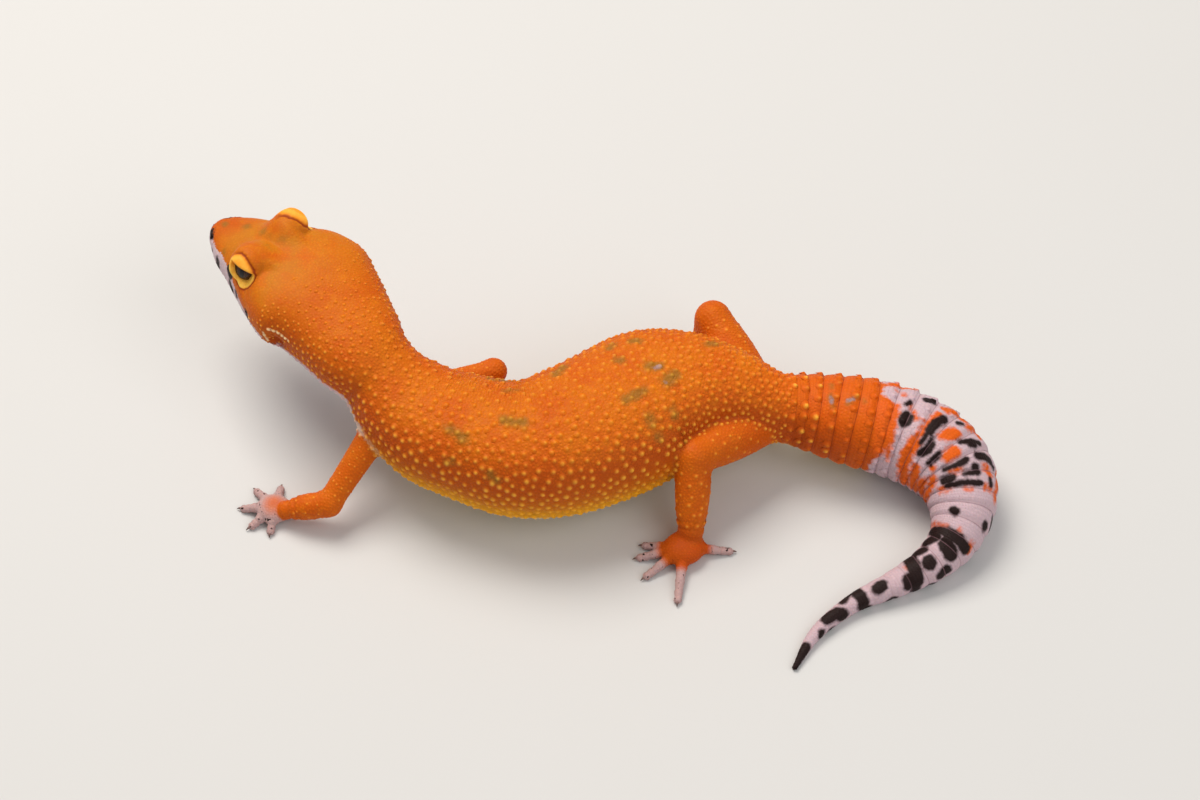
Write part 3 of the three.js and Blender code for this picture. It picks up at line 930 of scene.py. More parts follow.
@dataclass
class SkinNet:
    """Turns the form into one closed mesh of even cells."""

    form: GeckoForm
    cell: float = 0.45
    block: int = 4
    margin: float = 1.2
    busy_reach: float = 1.35
    far: float = 5.0
    detail: tuple[float, float, float] = (21.0, 14.0, -8.0)
    paw_detail: tuple[float, float] = (14.0, 5.0)
    eye_detail: tuple[float, float, float] = (4.6, -0.5, 5.5)

    def sample(self, shift: Array) -> tuple[Array, Array]:
        """Samples the form on a grid, finely only near its surface.

        Args:
            shift: The move from the form's frame to the model's.

        Returns:
            The grid's lowest corner and its values.
        """
        low = np.array(CAD_BOX[0]) / MM - shift - self.margin
        high = np.array(CAD_BOX[1]) / MM - shift + self.margin
        wide = self.cell * self.block
        blocks = np.ceil((high - low) / wide).astype(int)
        axes = [low[i] + wide * np.arange(blocks[i] + 1) for i in range(3)]
        coarse_points = np.stack(np.meshgrid(*axes, indexing="ij"), -1).reshape(-1, 3)
        coarse = self.form.distance(coarse_points).reshape(blocks + 1)
        least = np.abs(coarse)
        least = np.minimum(least[:-1], least[1:])
        least = np.minimum(least[:, :-1], least[:, 1:])
        least = np.minimum(least[:, :, :-1], least[:, :, 1:])
        busy = least < self.busy_reach * wide
        for axis in range(3):
            busy = np.repeat(busy, self.block, axis)
        nodes = np.zeros(np.array(busy.shape) + 1, bool)
        for i, j, k in np.ndindex(2, 2, 2):
            nodes[i : i + busy.shape[0], j : j + busy.shape[1], k : k + busy.shape[2]] |= busy
        pick = [np.minimum((np.arange(n) + self.block // 2) // self.block, c - 1)
                for n, c in zip(nodes.shape, coarse.shape)]
        grid = np.where(coarse[np.ix_(*pick)] < 0, -self.far, self.far)
        where = np.argwhere(nodes)
        grid[nodes] = self.form.distance(low + where * self.cell)
        return low, grid

    @staticmethod
    def net(grid: Array) -> tuple[Array, Array]:
        """Puts one vertex in each cell that the surface crosses, and a face round each crossed edge.

        Args:
            grid: The form's values on a grid.

        Returns:
            Vertices in cells, and faces of four sides.
        """
        cells = np.array(grid.shape) - 1
        total = np.zeros((*cells, 3))
        count = np.zeros(cells)
        inside = grid < 0
        crossed = []
        for axis in range(3):
            a = np.moveaxis(grid, axis, 0)
            here, there = a[:-1], a[1:]
            cut = np.argwhere((here < 0) != (there < 0))
            f = here[tuple(cut.T)] / (here[tuple(cut.T)] - there[tuple(cut.T)])
            others = [o for o in range(3) if o != axis]
            at = np.empty((len(cut), 3))
            at[:, axis] = cut[:, 0] + f
            at[:, others[0]] = cut[:, 1]
            at[:, others[1]] = cut[:, 2]
            base = np.floor(at + 1e-9).astype(int)
            base[:, axis] = cut[:, 0]
            ok = np.all((base[:, others] > 0) & (base[:, others] < cells[others]), axis=1)
            base, at = base[ok], at[ok]
            ring = []
            for du, dv in ((-1, -1), (0, -1), (0, 0), (-1, 0)):
                cell = base.copy()
                cell[:, others[0]] += du
                cell[:, others[1]] += dv
                index = np.ravel_multi_index(cell.T, cells)
                np.add.at(total.reshape(-1, 3), index, at)
                np.add.at(count.reshape(-1), index, 1)
                ring.append(index)
            ring = np.stack(ring, 1)
            outward = inside[tuple(base.T)] ^ (axis == 1)
            ring[~outward] = ring[~outward][:, ::-1]
            crossed.append(ring)
        faces = np.concatenate(crossed)
        used = np.flatnonzero(count.reshape(-1) > 0)
        number = np.full(count.size, -1)
        number[used] = np.arange(len(used))
        points = total.reshape(-1, 3)[used] / count.reshape(-1)[used, None]
        return points, number[faces]

    @staticmethod
    def relax(points: Array, faces: Array, share: float) -> Array:
        """Evens out the cells: each vertex moves towards the middle of its neighbours.

        Args:
            points: Vertices.
            faces: Faces, all with as many sides.
            share: How much of the way they move.

        Returns:
            The moved vertices.
        """
        total = np.zeros_like(points)
        count = np.zeros(len(points))
        sides = faces.shape[1]
        for i in range(sides):
            a, b = faces[:, i], faces[:, (i + 1) % sides]
            np.add.at(total, a, points[b])
            np.add.at(total, b, points[a])
            np.add.at(count, a, 1)
            np.add.at(count, b, 1)
        return points * (1 - share) + share * total / np.maximum(count, 1)[:, None]

    def build(self, shift: Array) -> tuple[Array, Array]:
        """Makes the skin.

        Args:
            shift: The move from the form's frame to the model's.

        Returns:
            The vertices in the form's frame and the faces.
        """
        low, grid = self.sample(shift)
        points, faces = self.net(grid)
        points = low + points * self.cell
        for _ in range(2):
            points = self.relax(points, faces, 0.5)
            points, _ = self.form.settle(points, 1)
        points, _ = self.form.settle(points, 1)
        points, faces = keep_largest(points, faces)
        faces = np.concatenate([faces[:, [0, 1, 2]], faces[:, [0, 2, 3]]])
        for reach in (self.near_detail, self.near_eyes):
            points, faces = refine(points, faces, reach(points))
            points, _ = self.form.settle(points, 2)
        for _ in range(4):
            free = self.near_eyes(points)
            some = faces[free[faces].any(1)]
            points[free] = self.relax(points, some, 0.5)[free]
            points[free], _ = self.form.settle(points[free], 1)
        return points, faces

    def near_detail(self, points: Array) -> Array:
        """Finds the parts that need finer triangles.

        Args:
            points: Points in millimetres.

        Returns:
            Whether each is on the front of the head, a hand or a foot.
        """
        back, side, up = self.form.spine.head_axes(points)
        behind, beside, under = self.detail
        found = (back < behind) & (np.abs(side) < beside) & (up > under)
        reach, height = self.paw_detail
        for limb in self.form.limbs:
            found |= (limb.gone(points) < reach) & (points[:, 2] < height)
        return found

    def near_eyes(self, points: Array) -> Array:
        """Finds the skin round the eyes.

        Args:
            points: Points in millimetres.

        Returns:
            Whether each is round an eye's lids.
        """
        forward, rise, out = self.form.features.seat.axes(*self.form.spine.head_axes(points))
        reach, low, high = self.eye_detail
        return (np.hypot(forward, rise) < reach) & (out > low) & (out < high)


def refine(points: Array, faces: Array, chosen: Array) -> tuple[Array, Array]:
    """Splits triangles where both ends of an edge are chosen, and keeps the mesh closed.

    Args:
        points: Vertices.
        faces: Triangles.
        chosen: Whether each vertex is in the part to be made finer.

    Returns:
        The new vertices and triangles.
    """
    edges = np.stack([faces, np.roll(faces, -1, axis=1)], -1).reshape(-1, 2)
    ordered = np.sort(edges, axis=1)
    key = ordered[:, 0].astype(np.int64) * len(points) + ordered[:, 1]
    _, first, back = np.unique(key, return_index=True, return_inverse=True)
    ends = ordered[first]
    split = chosen[ends].all(1)
    number = np.where(split, len(points) + np.cumsum(split) - 1, -1)
    points = np.vstack([points, points[ends[split]].mean(1)])
    middle = number[back].reshape(-1, 3)
    kinds = (middle >= 0).sum(1)
    out = [faces[kinds == 0]]
    a, b, c = faces[kinds == 3].T
    ab, bc, ca = middle[kinds == 3].T
    out += [np.stack(t, 1) for t in ((a, ab, ca), (ab, b, bc), (ca, bc, c), (ab, bc, ca))]
    for turn in range(3):
        f, m = np.roll(faces, -turn, axis=1), np.roll(middle, -turn, axis=1)
        one = (kinds == 1) & (m[:, 0] >= 0)
        a, b, c, ab = *f[one].T, m[one, 0]
        out += [np.stack([a, ab, c], 1), np.stack([ab, b, c], 1)]
        two = (kinds == 2) & (m[:, 2] < 0)
        a, b, c, ab, bc = *f[two].T, m[two, 0], m[two, 1]
        out += [np.stack([ab, b, bc], 1), np.stack([a, ab, bc], 1), np.stack([a, bc, c], 1)]
    return points, np.concatenate(out)


def keep_largest(points: Array, faces: Array) -> tuple[Array, Array]:
    """Drops loose specks from a mesh.

    Args:
        points: Vertices.
        faces: Faces.

    Returns:
        The vertices and faces of the largest connected part.
    """
    label = np.arange(len(points))
    while True:
        least = label[faces].min(1)
        new = label.copy()
        for i in range(faces.shape[1]):
            np.minimum.at(new, faces[:, i], least)
        new = new[new]
        if np.array_equal(new, label):
            break
        label = new
    main = np.bincount(label).argmax()
    kept = label == main
    number = np.cumsum(kept) - 1
    return points[kept], number[faces[kept[faces[:, 0]]]]


def make_mesh(
    name: str, points: Array, faces: Array, shift: Array, material: bpy.types.Material, smooth: bool = True,
) -> bpy.types.Object:
    """Makes a mesh object from arrays.

    Args:
        name: The object's name.
        points: Vertices in millimetres in the form's frame.
        faces: Rows of vertex numbers, all of one length.
        shift: The move from the form's frame to the model's.
        material: Its finish.
        smooth: Whether faces are shaded smooth.

    Returns:
        The linked object.
    """
    mesh = bpy.data.meshes.new(name)
    mesh.vertices.add(len(points))
    mesh.vertices.foreach_set("co", ((points + shift) * MM).astype(np.float32).ravel())
    sides = faces.shape[1]
    mesh.loops.add(faces.size)
    mesh.loops.foreach_set("vertex_index", faces.astype(np.int32).ravel())
    mesh.polygons.add(len(faces))
    mesh.polygons.foreach_set("loop_start", (np.arange(len(faces)) * sides).astype(np.int32))
    mesh.update(calc_edges=True)
    mesh.validate()
    mesh.polygons.foreach_set("use_smooth", np.full(len(faces), smooth))
    mesh.materials.append(material)
    piece = bpy.data.objects.new(name, mesh)
    bpy.context.scene.collection.objects.link(piece)
    return piece


def hand_over(piece: bpy.types.Object, values: dict[str, Array], slot: str, *nodes: str) -> None:
    """Stores what the finishes read, sets the piece under the body's root, and hides the frame's parts that
    it stands for.

    Args:
        piece: The piece.
        values: One number for each vertex under each name.
        slot: Not used.
        nodes: The frame's nodes that it stands for, if any.
    """
    for name, numbers in values.items():
        layer = piece.data.attributes.new(name, "FLOAT", "POINT")
        layer.data.foreach_set("value", np.asarray(numbers, np.float32))
    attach(piece, "root")
    if nodes:
        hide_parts(*nodes)
    log.info("%s: %d faces", piece.name, len(piece.data.polygons))


# ---------------------------------------------------------------- markings


class Tone(Enum):
    """What colour a marking has."""

    DARK = "dark"
    ORANGE = "orange"
    OLIVE = "olive"
    LILAC = "lilac"
    WHITE = "white"


@dataclass(frozen=True)
class Marking:
    """A stroke or spot of colour on the body."""

    tone: Tone
    path: tuple[tuple[float, float], ...]
    width: float


def strokes(tone: Tone, *rows: tuple[float, ...]) -> list[Marking]:
    """Markings of one colour, each given as half its width and then pairs of along and round."""
    return [Marking(tone, tuple(zip(row[1::2], row[2::2])), row[0]) for row in rows]


@dataclass
class Pattern:
    """The animal's markings, by distance along the body in millimetres and degrees round it."""

    form: GeckoForm
    markings: list[Marking] = field(default_factory=lambda: [
        *strokes(
            Tone.DARK,
            (0.72, 148.4, 118, 149.2, 122), (0.4, 145.8, 94, 146.1, 99), (1.0, 146.5, 72, 146.7, 79),
            (0.75, 152.0, 102, 151.4, 88, 151.4, 76), (0.35, 151.4, 76, 151.2, 58),
            (0.65, 152.9, 66, 153.3, 58, 152.6, 48), (0.4, 152.6, 70, 153.2, 64),
            (0.45, 155.6, 64, 155.6, 46), (0.4, 153.7, 116, 154.2, 121),
            (0.45, 156.1, 97, 156.8, 112, 157.5, 127), (0.45, 157.3, 109, 157.6, 116),
            (0.75, 159.1, 115, 159.3, 128, 159.8, 138), (0.3, 160.0, 137, 160.7, 147),
            (0.5, 159.2, 94, 159.5, 84), (0.32, 159.5, 84, 159.4, 70, 159.2, 60),
            (0.7, 160.8, 107, 161.3, 109), (0.4, 161.4, 90, 161.5, 105), (0.65, 161.8, 57, 161.7, 70),
            (0.4, 163.2, 61, 163.1, 89, 163.2, 114), (0.35, 162.4, 134, 163.1, 136),
            (0.65, 168.3, 76, 168.5, 80), (0.7, 173.6, 36, 172.8, 75),
            (0.9, 172.7, 85, 172.6, 117, 173.0, 144),
            (0.95, 176.4, 47, 174.4, 64), (0.75, 179.8, 46, 178.0, 62), (1.2, 174.6, 98, 175.2, 128),
            (0.4, 173.6, 41, 175.5, 58), (1.1, 181.0, 40, 181.6, 105, 182.2, 146),
            (0.9, 183.4, 120, 183.8, 150),
            (1.1, 178.8, 105, 179.0, 112), (0.95, 178.2, 170, 177.2, 162), (0.8, 182.6, 160, 183.0, 190),
            (1.0, 189.0, 103, 188.2, 97), (0.9, 192.6, 50, 192.4, 125, 192.8, 165),
            (0.6, 193.8, 35, 195.6, 60),
            (1.1, 199.8, 86, 198.0, 98, 197.2, 142), (0.5, 202.8, 165, 202.4, 140),
            (1.0, 208.6, 80, 206.8, 94), (0.95, 210.4, 0, 210.4, 90, 210.4, 180, 210.4, 270),
            (0.8, 171.6, 205, 173.0, 232), (0.9, 180.0, 206, 180.8, 240), (0.8, 192.0, 200, 192.6, 250),
            (0.8, 154.2, 156, 155.4, 168), (0.7, 167.0, 172, 168.0, 180), (0.7, 187.0, 196, 187.8, 214),
            (0.8, 147.4, 150, 148.2, 160), (0.6, 168.6, 150, 169.0, 156), (0.8, 200.4, 210, 201.0, 250),
            (0.55, 1.1, 42, 1.9, 32), (0.3, 3.3, -2), (0.6, 6.2, 8, 6.5, -4), (0.8, 10.5, 26, 11.2, 20),
            (0.55, 11.4, 2, 12.3, -2), (0.35, 14.0, 5, 14.2, 2), (0.4, 9.2, -24, 9.8, -30),
            (0.5, 15.4, -22, 16.2, -28), (0.4, 18.2, 3, 18.8, 0), (0.5, 1.2, 140, 1.9, 148),
            (0.6, 5.6, 172, 6.2, 182), (0.8, 9.6, 156, 10.4, 163),
            (0.6, 12.6, 178, 13.4, 184), (0.4, 16.2, 176, 16.8, 180),
        ),
        *strokes(
            Tone.ORANGE,
            (1.0, 151.4, 122, 152.4, 134, 153.6, 136), (0.65, 150.9, 104, 150.3, 81, 150.2, 64),
            (1.1, 150.0, 54, 149.8, 34, 150.4, 15, 152.4, -12), (1.2, 153.9, 86, 154.6, 98),
            (1.1, 156.9, 72, 157.1, 84), (0.45, 156.8, 44, 157.0, 48), (0.5, 160.5, 71, 160.5, 84),
            (0.7, 155.0, 126, 155.4, 146, 156.6, 140), (0.75, 160.8, 124, 161.5, 136),
            (0.8, 160.8, 168, 163.0, 158, 164.5, 154), (0.42, 163.6, 46, 163.8, 66),
            (0.5, 163.9, 93, 164.0, 98),
            (0.5, 163.6, 125, 163.8, 142), (0.9, 153.5, 26, 154.8, 9, 156.0, -10),
            (0.9, 158.2, 22, 160.6, 2, 162.8, -6), (0.6, 160.2, 42, 162.2, 25, 163.3, 8),
            (1.0, 141.6, 82, 142.4, 50, 143.2, 22), (0.85, 143.6, 86, 144.4, 58, 144.2, 34),
            (0.5, 145.2, 46, 145.8, 20), (0.45, 146.4, 94, 148.2, 82), (0.4, 143.4, 116, 144.8, 108),
            (1.1, 142.4, 126, 144.4, 138, 145.6, 144), (0.35, 171.8, 20, 171.7, 72),
            (0.55, 172.0, 148, 172.9, 154), (0.3, 171.4, 104), (0.35, 182.5, 82), (0.45, 172.6, 152),
            (1.1, 150.6, 170, 151.9, 178, 151.4, 190),
            (1.3, 156.4, 178, 158.0, 186), (0.6, 159.6, 196, 158.8, 208), (1.2, 146.6, 178, 147.6, 190),
            (0.7, 148.8, 206, 147.8, 214), (1.1, 153.2, 218, 154.4, 228),
        ),
        *strokes(
            Tone.OLIVE,
            (1.1, 71.4, 84, 74.4, 82), (1.0, 62.4, 64, 65.6, 58), (0.9, 63.8, 30, 64.2, 32),
            (1.0, 71.2, 30, 71.8, 27), (0.9, 93.8, 58, 93.6, 50), (0.7, 93.7, 41, 93.8, 34),
            (0.8, 99.6, 54, 98.8, 48), (1.0, 96.8, 124, 97.2, 126),
            (0.9, 95.8, 106, 96.2, 104), (1.1, 100.0, 120, 100.4, 118), (1.1, 99.3, 91, 101.3, 89),
            (1.3, 101.4, 77, 103.4, 80), (1.1, 92.2, 77, 95.8, 77), (0.6, 69.8, 113, 72.4, 115),
            (0.9, 93.8, 55, 93.6, 52), (0.7, 93.8, 38, 94.0, 36), (0.45, 132.0, 84, 132.8, 68),
            (0.5, 135.4, 77, 136.6, 84), (0.4, 137.9, 86, 138.1, 84), (0.3, 131.9, 103, 132.2, 96),
            (1.2, 84.0, 124, 86.4, 130), (1.0, 110.0, 112, 111.0, 118), (1.1, 66.0, 136, 68.4, 142),
            (0.8, 11.8, 97, 14.6, 95, 16.4, 98), (0.5, 16.1, 101, 16.3, 103), (0.8, 15.0, 83, 15.4, 82),
            (0.7, 6.8, 100, 7.0, 98), (0.5, 2.5, 92, 2.7, 90), (0.4, 7.0, 44, 7.4, 42),
            (0.9, 11.8, 70, 14.0, 66),
        ),
        *strokes(
            Tone.WHITE,
            (0.2, 25.4, 2, 26.4, -8), (0.15, 26.4, 12, 28.6, 13, 31.5, 11), (0.15, 17.9, 3, 19.9, 3),
        ),
        *strokes(
            Tone.LILAC,
            (0.5, 100.4, 89, 101.2, 89), (0.35, 101.1, 76, 101.3, 76), (0.4, 135.2, 79, 136.2, 82),
            (0.35, 132.2, 80, 132.5, 74),
        ),
    ])
    farthest: float = 3.0
    pale_edge: tuple[tuple[float, ...], tuple[float, ...]] = (
        (-180, -90, -20, 5, 28, 55, 80, 100, 140, 180),
        (142, 141, 142, 142.6, 143.4, 145.4, 144.6, 141.5, 141, 142),
    )

    def __post_init__(self) -> None:
        """Lays the markings out on the body."""
        self.lines = [(m.tone, self.form.lay(m.path, 0.6), m.width) for m in self.markings]

    def gap(self, tone: Tone, points: Array) -> Array:
        """Measures to the edge of the nearest marking of a colour.

        Args:
            tone: The colour.
            points: Points in millimetres.

        Returns:
            One distance for each point, below zero inside a marking and never more than the farthest.
        """
        best = np.full(len(points), self.farthest)
        for kind, line, width in self.lines:
            if kind is tone:
                close = near_line(points, line, width + self.farthest)
                best[close] = np.minimum(best[close], closest(points[close], line) - width)
        return best

    def limb_values(self, points: Array, body: Array) -> dict[str, Array]:
        """Works out where the colours of limbs lie.

        Args:
            points: Points in millimetres.
            body: Their distances from head, trunk and tail.

        Returns:
            Shares of limb, of pale toes and of red hind feet.
        """
        limb, toes, foot = np.zeros((3, len(points)))
        for item in self.form.limbs:
            close = item.close(points)
            spot = item.spot(points[close])
            ahead = body[close] - spot.nearest
            limb[close] = np.maximum(limb[close], ramp(ahead, -0.3, 1.2))
            reach = item.orange_reach
            bare = ramp(spot.gone, reach, reach + 1.6) * ramp(spot.lower - spot.paw, 0.0, 0.8)
            toes[close] = np.maximum(toes[close], bare * ramp(ahead, 0.0, 1.0))
            hind = ramp(-spot.gone, -6.5, -3.0) * item.name.startswith("leg")
            foot[close] = np.maximum(foot[close], hind)
        return {"limb": limb, "toes": toes, "foot": foot}

    def head_values(self, points: Array, arc: Array, body: Array) -> dict[str, Array]:
        """Works out where the colours of lips and lids lie, and where shade is painted in the ears and the
        lids' crease.

        Args:
            points: Points in millimetres.
            arc: Their distances along the body.
            body: Their distances from head, trunk and tail.

        Returns:
            Shares of lips, lids and the lids' rim, and of painted shade in the ears' hollows and the lids'
            crease.
        """
        features, seat = self.form.features, self.form.features.seat
        back, side, up = self.form.spine.head_axes(points)
        head = arc < HEAD_END
        lip = features.lip_edge(back) - up
        lips = np.where(head & (body < 1.6), ramp(lip, -0.25, 0.35) * ramp(-back, -26, -20), 0.0)
        hollow = features.ear_share(back, np.abs(side), up)
        forward, rise, out = seat.axes(back, side, up)
        slit = seat.slit(forward, rise, out)
        edge = seat.lid_edge(forward, rise, side)
        near_eye = head & (body < 4) & (out > -0.5) & (np.hypot(forward, rise) < 6)
        rim = ridge(slit - 0.2, 0.26) * (0.3 + 0.7 * ramp(-rise, -0.8, 0.3)) * ramp(-edge, -0.1, 0.3)
        # Painted shade in the groove of the fold behind the lids.
        crease = ridge(edge - 0.1, 0.15) * ramp(-forward, -2.4, -0.8)
        return {
            "lips": lips * ramp(edge, -0.1, 0.1),
            # Painted shade in the ear hollows; it joins the shade value.
            "ear": np.where(head, 1.2 * ramp(-hollow, -1.5, -0.9), 0.0),
            "lid": np.where(near_eye, -edge, -3.0),
            "rim": np.where(near_eye, rim, 0.0),
            "crease": np.where(near_eye, crease, 0.0),
        }

    def values(self, points: Array) -> dict[str, Array]:
        """What the finishes need to know at points of the skin.

        Args:
            points: Points in millimetres.

        Returns:
            One array for each named value.
        """
        spot = self.form.spine.locate(points)
        arc, angle = spot.arc, spot.angle
        height = np.sin(np.radians(angle))
        body = self.form.core(spot)
        limbs = self.limb_values(points, body)
        head = self.head_values(points, arc, body)
        rest = 1 - limbs["limb"]
        pale = ramp(arc - np.interp(angle, *self.pale_edge), -2.8, 2.8)
        groin = 0.9 * ridge(arc - 101, 7) * ridge(angle - 26, 22)
        wrinkle = ridge(arc - 67, 14) * ridge(angle - 122, 30) + groin
        chin = np.interp(arc, [27, 35], [0.14, 0.0])
        throat = ramp(-height - chin, 0.03, 0.3) * ramp(arc, 20, 30) * ramp(-arc, -60, -44)
        belly = ramp(-height, 0.3, 0.85) * ramp(arc, 46, 54)
        flank = ridge(height + 0.44, 0.34) * ramp(arc, 48, 60) * ramp(-arc, -118, -106)
        shade = ramp(-np.abs(height - 0.2), -0.72, -0.2) * ramp(arc, 33, 44) * ramp(-arc, -150, -128)
        cheek = ridge(height - 0.25, 0.5) * ramp(arc, 19, 30) * ramp(-arc, -62, -44)
        snout = ramp(-arc, -10, -2) * ramp(height, -0.1, 0.5)
        shade = np.maximum(np.maximum(shade, 0.8 * cheek), 0.55 * snout)
        shade *= 1 - 0.8 * limbs["limb"]
        for line, fold in self.form.fold_lines:
            if fold.width < 1.0:
                close = near_line(points, line, self.farthest)
                gap = closest(points[close], line)
                shade[close] = np.maximum(shade[close], 1.3 * ridge(gap, fold.width * 1.1))
        crown = ramp(-arc, -31, -18) * ramp(arc, 2, 9) * ramp(height, 0.2, 0.9)
        return {
            "pale": pale * rest,
            "wrinkle": wrinkle * rest,
            "belly": np.maximum(belly * rest, throat * rest),
            "flank": flank * rest,
            "shade": np.maximum(shade, head.pop("ear")),
            "crown": crown * (1 - 0.6 * ramp(body, 0.4, 2.6)),
            "whorl": self.form.whorl_count(spot),
            "along": arc,
            **limbs,
            **head,
            **{tone.value: self.gap(tone, points) for tone in Tone},
        }


# ---------------------------------------------------------------- finishes


Colour = tuple[float, float, float]


def linear(colour: Colour) -> tuple[float, float, float, float]:
    """A screen colour of 0 to 255 as the linear one that materials use."""
    parts = [c / 255.0 for c in colour]
    return (*(c / 12.92 if c <= 0.04045 else ((c + 0.055) / 1.055) ** 2.4 for c in parts), 1.0)


class Graph:
    """A material's nodes, made and joined in few words."""

    def __init__(self, name: str) -> None:
        """Starts an empty material.

        Args:
            name: Its name.
        """
        self.material = bpy.data.materials.new(name)
        self.material.use_nodes = True
        self.tree = self.material.node_tree
        self.tree.nodes.clear()
        self.place = self.node("ShaderNodeTexCoord").outputs["Object"]

    def node(self, kind: str, **options: object) -> bpy.types.Node:
        """Adds a node.

        Args:
            kind: Its kind in Blender.
            options: Settings by name.

        Returns:
            The node.
        """
        made = self.tree.nodes.new(kind)
        for name, value in options.items():
            setattr(made, name, value)
        return made

    def put(self, socket: bpy.types.NodeSocket, value: object) -> None:
        """Gives a socket what it works with.

        Args:
            socket: The socket.
            value: A number, a colour or another node's output.
        """
        if isinstance(value, bpy.types.NodeSocket):
            self.tree.links.new(value, socket)
        elif isinstance(value, tuple) and len(value) == 3 and socket.type == "RGBA":
            socket.default_value = linear(value)
        else:
            socket.default_value = value

    def value(self, name: str) -> bpy.types.NodeSocket:
        """The mesh's stored number of that name."""
        return self.node("ShaderNodeAttribute", attribute_name=name).outputs["Fac"]

    def wired(self, kind: str, output: int | str, sockets: dict, **options: object) -> bpy.types.NodeSocket:
        """Adds a node with values on its sockets.

        Args:
            kind: Its kind in Blender.
            output: The output that is wanted.
            sockets: Values by socket.
            options: Settings by name.

        Returns:
            The output.
        """
        made = self.node(kind, **options)
        for socket, value in sockets.items():
            self.put(made.inputs[socket], value)
        return made.outputs[output]

    def math(self, operation: str, a: object, b: object = 0.0, c: object = 0.0) -> bpy.types.NodeSocket:
        """Works one sum, by Blender's name for it."""
        return self.wired("ShaderNodeMath", 0, {0: a, 1: b, 2: c}, operation=operation)

    def times(self, a: object, b: object) -> bpy.types.NodeSocket:
        """The product of two numbers."""
        return self.math("MULTIPLY", a, b)

    def plus(self, a: object, b: object) -> bpy.types.NodeSocket:
        """The sum of two numbers."""
        return self.math("ADD", a, b)

    def scaled(self, a: object, by: float, more: object) -> bpy.types.NodeSocket:
        """A number times another, and more."""
        return self.math("MULTIPLY_ADD", a, by, more)

    def smooth(self, value: object, low: float, high: float) -> bpy.types.NodeSocket:
        """Rises smoothly from 0 at low to 1 at high."""
        sockets = {"Value": value, "From Min": low, "From Max": high}
        return self.wired("ShaderNodeMapRange", 0, sockets, interpolation_type="SMOOTHSTEP")

    def mix(self, share: object, a: object, b: object) -> bpy.types.NodeSocket:
        """Mixes two colours, by the share of the second."""
        return self.wired("ShaderNodeMix", 2, {0: share, 6: a, 7: b}, data_type="RGBA")

    def noise(self, size: float, detail: float = 2.0) -> bpy.types.NodeSocket:
        """Soft noise with spots about size millimetres across."""
        sockets = {"Vector": self.place, "Scale": 1.0 / (size * MM), "Detail": detail}
        return self.wired("ShaderNodeTexNoise", "Fac", sockets)

    def cells(self, size: float) -> bpy.types.NodeSocket:
        """Distance from the middles of cells about size millimetres across."""
        sockets = {"Vector": self.place, "Scale": 1.0 / (size * MM)}
        return self.wired("ShaderNodeTexVoronoi", "Distance", sockets)

    def bump(self, height: object, depth: float, under: object = (0.0, 0.0, 0.0)) -> bpy.types.NodeSocket:
        """Relief of a depth in millimetres, over other relief if there is any."""
        sockets = {"Strength": 1.0, "Distance": depth * MM, "Height": height, "Normal": under}
        return self.wired("ShaderNodeBump", 0, sockets)

    def finish(self, **sockets: object) -> bpy.types.Material:
        """Ends in one surface shader.

        Args:
            sockets: Its sockets by name, with underlines for blanks.

        Returns:
            The material.
        """
        shader = self.node("ShaderNodeBsdfPrincipled")
        for name, value in sockets.items():
            self.put(shader.inputs[name.replace("_", " ")], value)
        out = self.node("ShaderNodeOutputMaterial")
        self.tree.links.new(shader.outputs[0], out.inputs[0])
        return self.material


